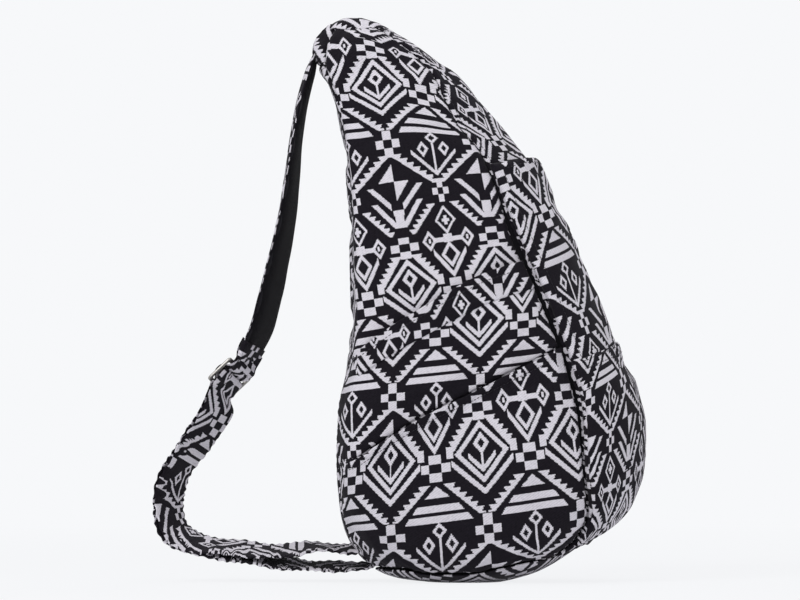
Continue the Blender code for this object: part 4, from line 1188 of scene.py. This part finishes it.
@dataclass
class Strap:
    """The padded strap: jacquard outside, foam, and black microfibre towards the bag."""

    width: float = 0.055
    foam: float = 0.006
    cover: float = 0.001
    twists: Table = ((0.0, 1.0), (0.30, 4.5), (0.45, 9.0), (0.65, 14.5), (0.8, 17.5), (1.0, 18.0))
    fullness: Table = ((0.0, 0.15), (0.05, 0.45), (0.11, 0.95), (0.2, 1.0), (0.93, 1.0), (1.0, 0.7))
    widths: Table = ((0.0, 0.45), (0.05, 0.6), (0.16, 0.9), (0.32, 1.0), (0.88, 1.0), (0.97, 0.88), (1.0, 0.72))
    grain: Grain = Grain((0.0, 40.0), (66.0, 0.0), (6.0, -163.0))
    end: Vector = field(default_factory=Vector)

    def build(self) -> None:
        """Three sheets on one route: each a profile across the width carried along the strap."""
        centre, share = sampled([ROUTE.point(*p) for p in ROUTE.way], 2.0 * MM)
        full = smooth(self.fullness, share)[:, None]
        wide, inward = frames_along(centre, smooth(self.twists, share))
        width = self.width * smooth(self.widths, share)
        self.end = Vector(centre[-1])
        along = spans(centre[None], 1)[0] / MM
        across = np.linspace(-1, 1, 33)
        crown = 1 - np.abs(across) ** 4
        ripple = 0.25 * MM * np.sin(along / 5.0)[:, None] * np.abs(across)[None] ** 3
        places = centre[:, None] + wide[:, None] * (across * 0.5)[None, :, None] * width[:, None, None]
        cloth = self.grain.cloth(across[None] * width[:, None] / 2 / MM, -along[:, None] + 0 * across[None])
        for name, side, finish, slot, node in (
            ("strap_outer_cloth", -1, Finish.JACQUARD, "jacquard", "strap_cover"),
            ("strap_inner_cloth", 1, Finish.MICROFIBRE, "strap_lining", "strap_lining"),
        ):
            depth = side * (self.foam / 2 + 0.9 * MM) * crown[None] * full + side * 0.25 * MM + ripple * full
            sheet = surface(name, places + inward[:, None] * depth[..., None], cloth, flip=side > 0)
            cloth_wall(sheet, 0.8 * MM)
            hand_over(sheet, MATERIALS[finish], [node])
        angle = np.linspace(0, 2 * np.pi, 40, endpoint=False)
        flat = np.sign(np.cos(angle)) * np.abs(np.cos(angle)) ** 0.6
        deep = np.sign(np.sin(angle)) * np.abs(np.sin(angle)) ** 0.8 * (self.foam / 2 - 0.1 * MM)
        pad = centre[:, None] + wide[:, None] * (flat / 2)[None, :, None] * (width - 1.6 * MM)[:, None, None]
        piece = surface("strap_pad", pad + inward[:, None] * (deep[None] * full)[..., None], wrap=(False, True))
        close_ends(piece, 40)
        hand_over(piece, MATERIALS[Finish.FOAM], ["strap_foam"])
        self.build_end(centre, wide, inward, width)

    def build_end(self, centre: np.ndarray, wide: np.ndarray, inward: np.ndarray, width: np.ndarray) -> None:
        """The cover folded round the strap's end: a flat tube over the last rows that narrows to the band.

        Args:
            centre: Points along the strap.
            wide: Ways across it.
            inward: Ways through it.
            width: Its width at each point.
        """
        rows = slice(len(centre) - 7, len(centre))
        share = np.linspace(0, 1, 7)[:, None]
        angle = np.linspace(0, 2 * np.pi, 40, endpoint=False)
        flat = (np.sign(np.cos(angle)) * np.abs(np.cos(angle)) ** 0.6)[None] * (width[rows, None] / 2 + 0.3 * MM)
        lean = 1 - 0.35 * np.cos(angle)[None] * (1 - share)
        deep = (np.sign(np.sin(angle)) * np.abs(np.sin(angle)) ** 0.7)[None]
        deep = deep * (self.foam / 2 + 1.4 * MM - 2.2 * MM * share**1.5) + 0.3 * MM * np.sin(angle * 7)[None] * share
        middle = centre[rows] + (centre[-1] - centre[-2]) * (share * 1.6)
        tail = np.linalg.norm(centre[-1] - centre[-2]) * 1.2 * (lean - 1)
        along = (centre[-1] - centre[-2]) / np.linalg.norm(centre[-1] - centre[-2])
        points = (middle[:, None] + wide[rows, None] * flat[..., None] + inward[rows, None] * deep[..., None]
                  - along * tail[..., None])
        cloth = self.grain.cloth(flat / MM + 9.0, share * 18.0 - 44.0 + 0 * flat)
        piece = surface("strap_end_fold", points, cloth, wrap=(False, True))
        close_ends(piece, 40)
        hand_over(piece, MATERIALS[Finish.JACQUARD])
        area = sheet_area(piece)[2] / 2


@dataclass
class Band:
    """The adjuster band in two strands, woven through the slider, and the slider itself."""

    width: float = 0.038
    thickness: float = 0.0012
    slack: float = 0.0004
    spread: float = 0.0075
    bar: float = 0.0035
    plate: float = 0.002
    slot_length: float = 0.007
    rail: float = 0.003
    play: float = 0.0005
    twists: Table = (
        (0.0, 36.0), (0.08, 41.0), (0.17, 38.0), (0.25, 34.0), (0.46, 33.0), (0.54, 34.0), (0.62, 25.0), (0.75, 17.0),
        (0.9, 15.0), (1.0, 9.0),
    )
    grain: Grain = Grain((6.0, -12.0), (66.0, 0.0), (4.0, -163.0))

    def build(self, strap_end: Vector) -> None:
        """Both strands: the outer from the strap's end under, over and under the bars, the inner round the middle bar.

        Args:
            strap_end: The middle of the padded strap's end.
        """
        middle, along, wide, inward = ROUTE.slider_frame()
        bar, layer = self.bar / 2, self.thickness + 0.3 * MM
        under = self.plate / 2 + self.play + self.thickness / 2
        slot_end = bar + self.slot_length
        outer = slot_end + bar
        hump = under + layer + self.slack / 2
        climb = [(-outer - 3 * bar, -under * 0.8), (-outer - bar, -under), (-outer, -under),
                 (-slot_end + 0.3 * MM, -under), (-self.slot_length * 0.75, self.thickness * 0.7),
                 (-self.slot_length * 0.48, hump * 0.82), (-bar, hump)]
        over = climb + [(0.0, hump + self.slack / 4)] + [(-u, v) for u, v in reversed(climb[1:])]
        over.append((outer + bar, -under))
        turn_back, low = -bar - under * 0.8, -under - layer - self.slack
        hook = [(bar * 0.7, under), (0.0, under), (-bar * 1.1, under), (turn_back, under * 0.6), (turn_back, 0.0),
                (turn_back, -under * 0.6), (-bar * 1.1, -under), (0.0, -under - 0.15 * MM),
                (self.slot_length * 0.45, -under - 0.35 * layer), (self.slot_length * 0.85, -under - 0.8 * layer),
                (slot_end, low), (outer + bar, low)]
        run_in = [middle - along * 0.016, middle]
        line, share = sampled([*run_in, *(ROUTE.point(*p) for p in ROUTE.band)], 4.0 * MM)
        wide_line, inward_line = frames_along(line, smooth(self.twists, share))
        gap = layer / 2 + self.slack
        parting = gap + (self.spread - gap) * np.clip((share - 0.62) / 0.38, 0, 1) ** 1.7
        free = np.nonzero(np.linalg.norm(line - np.array(middle), axis=1) > 0.021)[0][::4]
        free = free[free > 5]
        inside = strap_end + (ROUTE.point(*ROUTE.way[-2]) - strap_end).normalized() * 10.0 * MM
        for name, node, weave, start, side, end_up in (
            ("band_outer_cloth", "band_outer_strand", over, [inside, strap_end], -1.0, 0.030),
            ("band_inner_cloth", "band_inner_strand", hook, [], 1.0, 0.058),
        ):
            local = [middle + along * u - inward * v for u, v in weave]
            run = [Vector(p) for p in line[free] + inward_line[free] * (side * parting[free])[:, None]]
            run += [Vector(FORM.lifted(0.0, end_up, depth * MM)) for depth in (3.6, -9.0)]
            centre, _ = sampled([*start, *local, *run], 1.0 * MM)
            nearest = np.argmin(np.linalg.norm(centre[:, None] - line[None], axis=2), axis=1)
            away = np.linalg.norm(centre - np.array(middle), axis=1)[:, None]
            ease = np.clip(away / outer - 1.2, 0, 1)
            ways = wide_line[nearest] * ease + np.array(wide) * (1 - ease)
            kernel = np.ones(9) / 9
            padded = np.pad(ways, ((4, 4), (0, 0)), mode="edge")
            ways = np.stack([np.convolve(padded[:, k], kernel, "valid") for k in range(3)], 1)
            ways /= np.linalg.norm(ways, axis=1, keepdims=True)
            self.strand(name, node, centre, ways, side)

    def strand(self, name: str, node: str, centre: np.ndarray, ways: np.ndarray, side: float) -> None:
        """One strand: a flat profile with slightly thicker folded edges, carried along its route."""
        run = np.gradient(centre, axis=0)
        out = np.cross(ways, run)
        out /= np.linalg.norm(out, axis=1, keepdims=True)
        angle = np.linspace(0, 2 * np.pi, 44, endpoint=False)
        across = np.sign(np.cos(angle)) * np.abs(np.cos(angle)) ** 0.5
        length = spans(centre[None], 1)[0] / MM
        middle = np.array(ROUTE.slider_frame()[0])
        loose = np.clip(np.linalg.norm(centre - middle, axis=1) / MM / 30.0 - 1.0, 0, 1)[:, None]
        half = (self.thickness / 2 + 0.75 * MM * loose) * (np.sign(np.sin(angle)) * np.abs(np.sin(angle)) ** 0.8)[None]
        crush = np.sin(length / 7.0 + side)[:, None] * across[None] + np.sin(length / 11.0)[:, None] * (across[None] ** 2 - 0.5)
        creases = np.sin(length / 1.15 + 2.0 * np.sin(length / 9.0))[:, None] * np.abs(across[None]) ** 3
        half = half + MM * loose * (0.8 * crush + 0.6 * creases)
        places = centre[:, None] + ways[:, None] * (across * self.width / 2)[None, :, None] + out[:, None] * half[..., None]
        shift = 0.0 if side < 0 else 31.0
        broken = 4.0 * np.sin(length / 1.9 + 2.0 * np.sin(length / 6.0))[:, None] * ramp(-across, 0.05, 0.7)[None] * loose
        cloth = self.grain.cloth(across[None] * self.width / 2 / MM + shift + 0.6 * broken, broken - length[:, None])
        piece = surface(name, places, cloth, wrap=(False, True))
        close_ends(piece, 44)
        hand_over(piece, MATERIALS[Finish.JACQUARD], [node])

    def build_slider(self) -> None:
        """The three-bar slider: a flat plate with two slots and rounded edges, from one filled curve."""
        middle, along, wide, inward = ROUTE.slider_frame()
        half_slot = (self.width + 2.0 * MM) / 2
        half_length = self.bar * 1.5 + self.slot_length
        outlines = [rounded(half_length, half_slot + self.rail, 3.0 * MM, 0.0)]
        shift = (self.bar + self.slot_length) / 2
        outlines += [rounded(self.slot_length / 2, half_slot, 1.2 * MM, side * shift) for side in (-1, 1)]
        turned = Matrix.Translation(middle) @ Matrix((along, wide, -inward)).transposed().to_4x4()
        piece = plate_piece("band_slider", outlines, self.plate, 0.55 * MM, turned)
        hand_over(piece, MATERIALS[Finish.PEWTER], ["strap_slider"])


def rounded(half_x: float, half_y: float, radius: float, shift: float) -> np.ndarray:
    """Outline of a rounded rectangle: quarter circles at its four corners, moved along x."""
    corner = np.array([(1, 1), (-1, 1), (-1, -1), (1, -1)], float)[:, None]
    angle = np.radians(np.arange(4)[:, None] * 90 + np.linspace(0, 90, 8)[None])
    arcs = corner * np.array([half_x - radius, half_y - radius]) + radius * np.stack([np.cos(angle), np.sin(angle)], -1)
    return arcs.reshape(-1, 2) + np.array([shift, 0.0])


def plate_piece(name: str, outlines: Sequence[np.ndarray], thickness: float, edge: float,
                turned: Matrix) -> bpy.types.Object:
    """A flat plate with holes and rounded edges: one filled curve, made a mesh and put in its place.

    Args:
        name: The piece's name.
        outlines: The rim, then the holes, each a closed run of points.
        thickness: Of the plate.
        edge: Radius of its rounded edges.
        turned: Where it goes.

    Returns:
        The mesh object, at the origin and unturned.
    """
    drawn = bpy.data.curves.new(name, "CURVE")
    drawn.dimensions, drawn.fill_mode = "2D", "BOTH"
    drawn.extrude, drawn.bevel_depth, drawn.bevel_resolution = thickness / 2 - edge, edge, 2
    drawn.offset = -edge
    for outline in outlines:
        spline = drawn.splines.new("POLY")
        spline.points.add(len(outline) - 1)
        rows = np.concatenate([outline, np.zeros((len(outline), 1)), np.ones((len(outline), 1))], 1)
        spline.points.foreach_set("co", rows.ravel())
        spline.use_cyclic_u = True
    guide = bpy.data.objects.new(name + "_guide", drawn)
    bpy.context.scene.collection.objects.link(guide)
    bpy.context.view_layer.update()
    mesh = bpy.data.meshes.new_from_object(guide.evaluated_get(bpy.context.evaluated_depsgraph_get()))
    bpy.data.objects.remove(guide, do_unlink=True)
    mesh.transform(turned)
    made = bmesh_of(mesh)

    bmesh.ops.remove_doubles(made, verts=made.verts, dist=1e-6)
    bmesh.ops.recalc_face_normals(made, faces=made.faces)
    made.to_mesh(mesh)
    made.free()
    piece = bpy.data.objects.new(name, mesh)
    bpy.context.scene.collection.objects.link(piece)
    return piece


# ---------------------------------------------------------------- zip


@dataclass
class MainZip:
    """The main zip along the far seam: tape, coil, slider and pull."""

    low: float = 0.40
    high: float = 0.735
    rest: float = 0.700
    tape_half: float = 0.10
    tape: float = 0.8
    coil: float = 1.6
    body_length: float = 0.011
    body_width: float = 0.0085
    body_height: float = 0.0026
    bail_radius: float = 0.0008
    bail_reach: float = 0.0035
    pull_length: float = 0.022
    pull_width: float = 0.007
    pull_thickness: float = 0.0012

    def lift(self) -> float:
        """How far the slider's underside stands off the body, in metres."""
        return (1.0 + 1.5 + 0.3 + self.tape + self.coil + 0.5) * MM

    def frame(self) -> tuple[Vector, Vector, Vector, Vector]:
        """Place of the slider, and its ways up the zip, across it and outwards."""
        low, place, high = FORM.lifted(FAR_SEAM_AT, np.array([self.rest - 0.004, self.rest, self.rest + 0.004]), self.lift())
        outward = Vector(FORM.normal(FAR_SEAM_AT, np.array(self.rest)))
        along = Vector(high - low).normalized()
        outward = (outward - along * outward.dot(along)).normalized()
        return Vector(place), along, outward.cross(along), outward

    def build(self) -> None:
        """Tape and coil on the seam, the slider on its arc's rest place and the pull on its pin."""
        tape = Patch("zip_tape_cloth", (fixed(FAR_SEAM_AT - self.tape_half), fixed(FAR_SEAM_AT + self.tape_half)), level(self.low),
                     level(self.high), 2.8, Grain((0, 0), (66.0, 0.0), (0.0, -163.0)), (15, 90), anchor=FAR_SEAM_AT,
                     seam_dip=0.2, pucker=0.12, wall=0.6)
        piece = tape.build()
        width, length, area = sheet_area(piece)
        hand_over(piece, MATERIALS[Finish.TAPE], ["zip_tape"])
        self.build_teeth()
        self.build_slider()

    def build_teeth(self) -> None:
        """The coil: one small arch a tooth, alternating sides, carried along the seam as one array of points."""
        rough = FORM.lifted(FAR_SEAM_AT, np.linspace(self.low + 0.004, self.high - 0.004, 400), 3.4 * MM)
        run = spans(rough[None], 1)[0]
        count = int(run[-1] / (1.1 * MM))
        at = np.interp(np.linspace(0, run[-1], count), run, np.linspace(self.low + 0.004, self.high - 0.004, 400))
        centre = FORM.lifted(FAR_SEAM_AT, at, 3.2 * MM) + SLACK.at(np.full(count, FAR_SEAM_AT), at)
        up = FORM.normal(np.full(count, FAR_SEAM_AT), at)
        along = np.gradient(centre, axis=0)
        along /= np.linalg.norm(along, axis=1, keepdims=True)
        side = np.cross(up, along) * np.where(np.arange(count) % 2, 1, -1)[:, None]
        turn = np.linspace(-0.15, np.pi + 0.15, 7)
        arch_side, arch_up = (0.9 + 1.5 * np.cos(turn)) * MM, 0.85 * MM * np.sin(turn)
        angle = np.linspace(0, 2 * np.pi, 6, endpoint=False)
        thick = 0.42 * MM
        radial = np.stack([np.cos(turn), np.sin(turn)], 1)
        grid_side = arch_side[:, None] + thick * np.cos(angle)[None] * radial[:, :1]
        grid_up = arch_up[:, None] + thick * np.cos(angle)[None] * radial[:, 1:]
        grid_along = thick * np.sin(angle)[None] + 0 * grid_side
        points = (centre[:, None, None] + side[:, None, None] * grid_side[None, ..., None]
                  + up[:, None, None] * grid_up[None, ..., None] + along[:, None, None] * grid_along[None, ..., None])
        base = np.arange(7 * 6).reshape(7, 6)
        quads = np.stack([base[:-1], np.roll(base[:-1], -1, 1), np.roll(base[1:], -1, 1), base[1:]], -1).reshape(-1, 4)
        whole = (quads[None] + (np.arange(count) * 42)[:, None, None]).reshape(-1, 4)
        piece = from_faces("zip_coil_teeth", points.reshape(-1, 3), whole)
        hand_over(piece, MATERIALS[Finish.COIL], ["zip_coil"])

    def build_slider(self) -> None:
        """Slider plates with their bail, and the pull: rounded plates turned into the zip's own ways."""
        place, along, across, outward = self.frame()
        ways = Matrix((along, across, outward)).transposed().to_4x4()
        shield = rounded(self.body_length / 2, self.body_width / 2, 2.2 * MM, 0.0)
        shield[:, 1] *= 0.82 + 0.18 * np.clip(shield[:, 0] / (self.body_length / 2), -1, 1)
        lower = plate_piece("zip_slider_plate", [shield], self.body_height * 0.8, 0.5 * MM,
                            Matrix.Translation(place + outward * self.body_height * 0.5) @ ways)
        hand_over(lower, MATERIALS[Finish.PEWTER], ["zip_slider"], "zip_slider")
        pin = self.body_height + 0.3 * MM + 0.7 * self.pull_thickness
        top = pin + 0.7 * self.pull_thickness + 0.3 * MM + self.bail_radius
        turn = np.linspace(0, np.pi, 15)
        path_x = self.bail_reach * np.sign(np.cos(turn)) * np.abs(np.cos(turn)) ** 0.5
        path_z = self.body_height * 0.6 + (top - self.body_height * 0.6) * np.sin(turn) ** 0.5
        path = np.stack([path_x, 0 * path_x, path_z], 1)
        run = np.gradient(path, axis=0)
        run /= np.linalg.norm(run, axis=1, keepdims=True)
        out = np.cross(run, (0, 1, 0))
        angle = np.linspace(0, 2 * np.pi, 12, endpoint=False)
        tube = path[:, None] + self.bail_radius * (np.cos(angle)[None, :, None] * out[:, None]
                                                   + np.sin(angle)[None, :, None] * np.array([0.0, 1.3, 0.0]))
        turned = np.array(Matrix.Translation(place) @ ways)
        tube = tube @ turned[:3, :3].T + turned[:3, 3]
        bail = surface("zip_slider_bail", tube, wrap=(False, True))
        close_ends(bail, 12)
        hand_over(bail, MATERIALS[Finish.PEWTER], (), "zip_slider")
        half_bar = self.pull_thickness / 2
        half = (self.pull_length + half_bar) / 2
        rim = rounded(half, self.pull_width / 2, self.pull_width * 0.3, half_bar - half)
        rim[:, 1] *= 0.8 + 0.2 * np.clip(-rim[:, 0] / self.pull_length * 1.6, 0, 1)
        window = rounded((self.bail_reach + self.bail_radius + 0.3 * MM) / 2, 1.7 * MM, 0.5 * MM,
                         -half_bar - (self.bail_reach + self.bail_radius + 0.3 * MM) / 2)
        grip = rounded(3.2 * MM, 1.3 * MM, 1.2 * MM, -self.pull_length * 0.72)
        pivot = place + outward * pin - along * self.bail_reach * 0.4
        pull = plate_piece("zip_pull_tab", [rim, window, grip], self.pull_thickness, 0.35 * MM,
                           Matrix.Translation(pivot) @ ways)
        hand_over(pull, MATERIALS[Finish.PEWTER], ["zip_pull"], "zip_pull")


# ---------------------------------------------------------------- studio


@dataclass
class Studio:
    """Plain pale floor and backdrop, soft lamps, and the camera at the photograph's angle."""

    pixel: float = 0.786
    distance: float = 6.0
    paper: str = "#F7F8FA"
    ambient: float = 0.34
    glow_share: float = 0.9
    shadow_reach: float = 0.5

    def build_camera(self) -> None:
        """A level long lens that sees 800 by 600 pixels of 0.786 mm at the bag's middle plane."""
        lens = bpy.data.cameras.new("long_lens")
        lens.sensor_width = 36.0
        lens.lens = 36.0 * self.distance / (800 * self.pixel * MM)
        camera = bpy.data.objects.new("long_lens", lens)
        camera.location = ((400 - 475) * self.pixel * MM, -self.distance, (581 - 300) * self.pixel * MM)
        camera.rotation_euler = (math.pi / 2, 0.0, 0.0)
        bpy.context.scene.collection.objects.link(camera)
        bpy.context.scene.camera = camera

    def build_floor(self) -> None:
        """A wide flat floor that meets the pale air at the horizon, and still takes the bag's shadow."""
        turn = np.linspace(0, 2 * np.pi, 64, endpoint=False)
        reach = np.array([0.02, 1.0, 4.0, 60.0])[:, None]
        points = np.stack([reach * np.cos(turn), reach * np.sin(turn), 0 * reach * turn - 0.2 * MM], -1)
        floor = surface("paper_floor", points, wrap=(False, True))
        close_ends(floor, 64, top=False)
        material = bpy.data.materials.new("seamless_paper")
        material.use_nodes = True
        tree = material.node_tree
        shader = tree.nodes["Principled BSDF"]
        shader.inputs["Base Color"].default_value = linear(self.paper)
        shader.inputs["Roughness"].default_value = 0.9
        shader.inputs["Specular IOR Level"].default_value = 0.0
        ray = add(tree, "ShaderNodeLightPath")
        seen = Wire(tree, ray.outputs["Is Camera Ray"]) | Wire(tree, ray.outputs["Is Glossy Ray"])
        seen = seen | Wire(tree, ray.outputs["Is Transmission Ray"])
        glow = add(tree, "ShaderNodeEmission", {"Color": linear(self.paper), "Strength": 1.0})
        place = add(tree, "ShaderNodeTexCoord").outputs["Object"]
        away = Wire(tree, add(tree, "ShaderNodeVectorMath", {0: place}, operation="LENGTH").outputs["Value"])
        fade = (away - self.shadow_reach).calc("MAXIMUM", 0.0).calc("MINIMUM", 1.0)
        share = seen * (fade * (1.0 - self.glow_share) + self.glow_share)
        mix = add(tree, "ShaderNodeMixShader", {0: share.socket, 1: shader.outputs[0], 2: glow.outputs[0]})
        tree.links.new(mix.outputs[0], tree.nodes["Material Output"].inputs["Surface"])
        floor.data.materials.append(material)

    def build_lights(self) -> None:
        """A broad key from the upper left, a fill from the right, one overhead and a pale world."""
        for name, place, size, power in (
            ("key", (-1.7, -2.2, 2.3), 1.2, 50.0),
            ("fill", (2.2, -2.4, 1.0), 2.0, 13.0),
            ("overhead", (0.2, -0.2, 2.4), 1.6, 12.0),
            ("back", (0.5, 1.0, 1.6), 1.2, 6.0),
        ):
            lamp = bpy.data.lights.new(name, "AREA")
            lamp.energy, lamp.size = power, size
            held = bpy.data.objects.new(name, lamp)
            held.location = place
            aim = Vector((0.0, 0.0, 0.2)) - Vector(place)
            held.rotation_euler = aim.to_track_quat("-Z", "Y").to_euler()
            bpy.context.scene.collection.objects.link(held)
        world = bpy.data.worlds.new("studio_air")
        world.use_nodes = True
        sky = world.node_tree.nodes["Background"]
        sky.inputs["Color"].default_value = linear(self.paper)
        air = world.node_tree
        ray = add(air, "ShaderNodeLightPath")
        seen = Wire(air, ray.outputs["Is Camera Ray"]) | Wire(air, ray.outputs["Is Glossy Ray"])
        seen = seen | Wire(air, ray.outputs["Is Transmission Ray"])
        air.links.new((seen * (1.0 - self.ambient) + self.ambient).socket, sky.inputs["Strength"])
        bpy.context.scene.world = world
        bpy.context.scene.view_settings.view_transform = "Standard"


def main() -> None:
    """Builds the studio and the bag's pieces in order."""
    studio = Studio()
    studio.build_camera()
    studio.build_floor()
    studio.build_lights()
    shell = Shell()
    shell.build_core()
    shell.build_panels()
    shell.build_cap()
    shell.build_base()
    pockets = Pockets()
    pockets.build_slip()
    pockets.build_front()
    strap = Strap()
    strap.build()
    band = Band()
    band.build(strap.end)
    band.build_slider()
    MainZip().build()
    STITCHES.build()


if __name__ == "__main__":
    logging.basicConfig(level=logging.INFO, format="%(message)s")
    main()
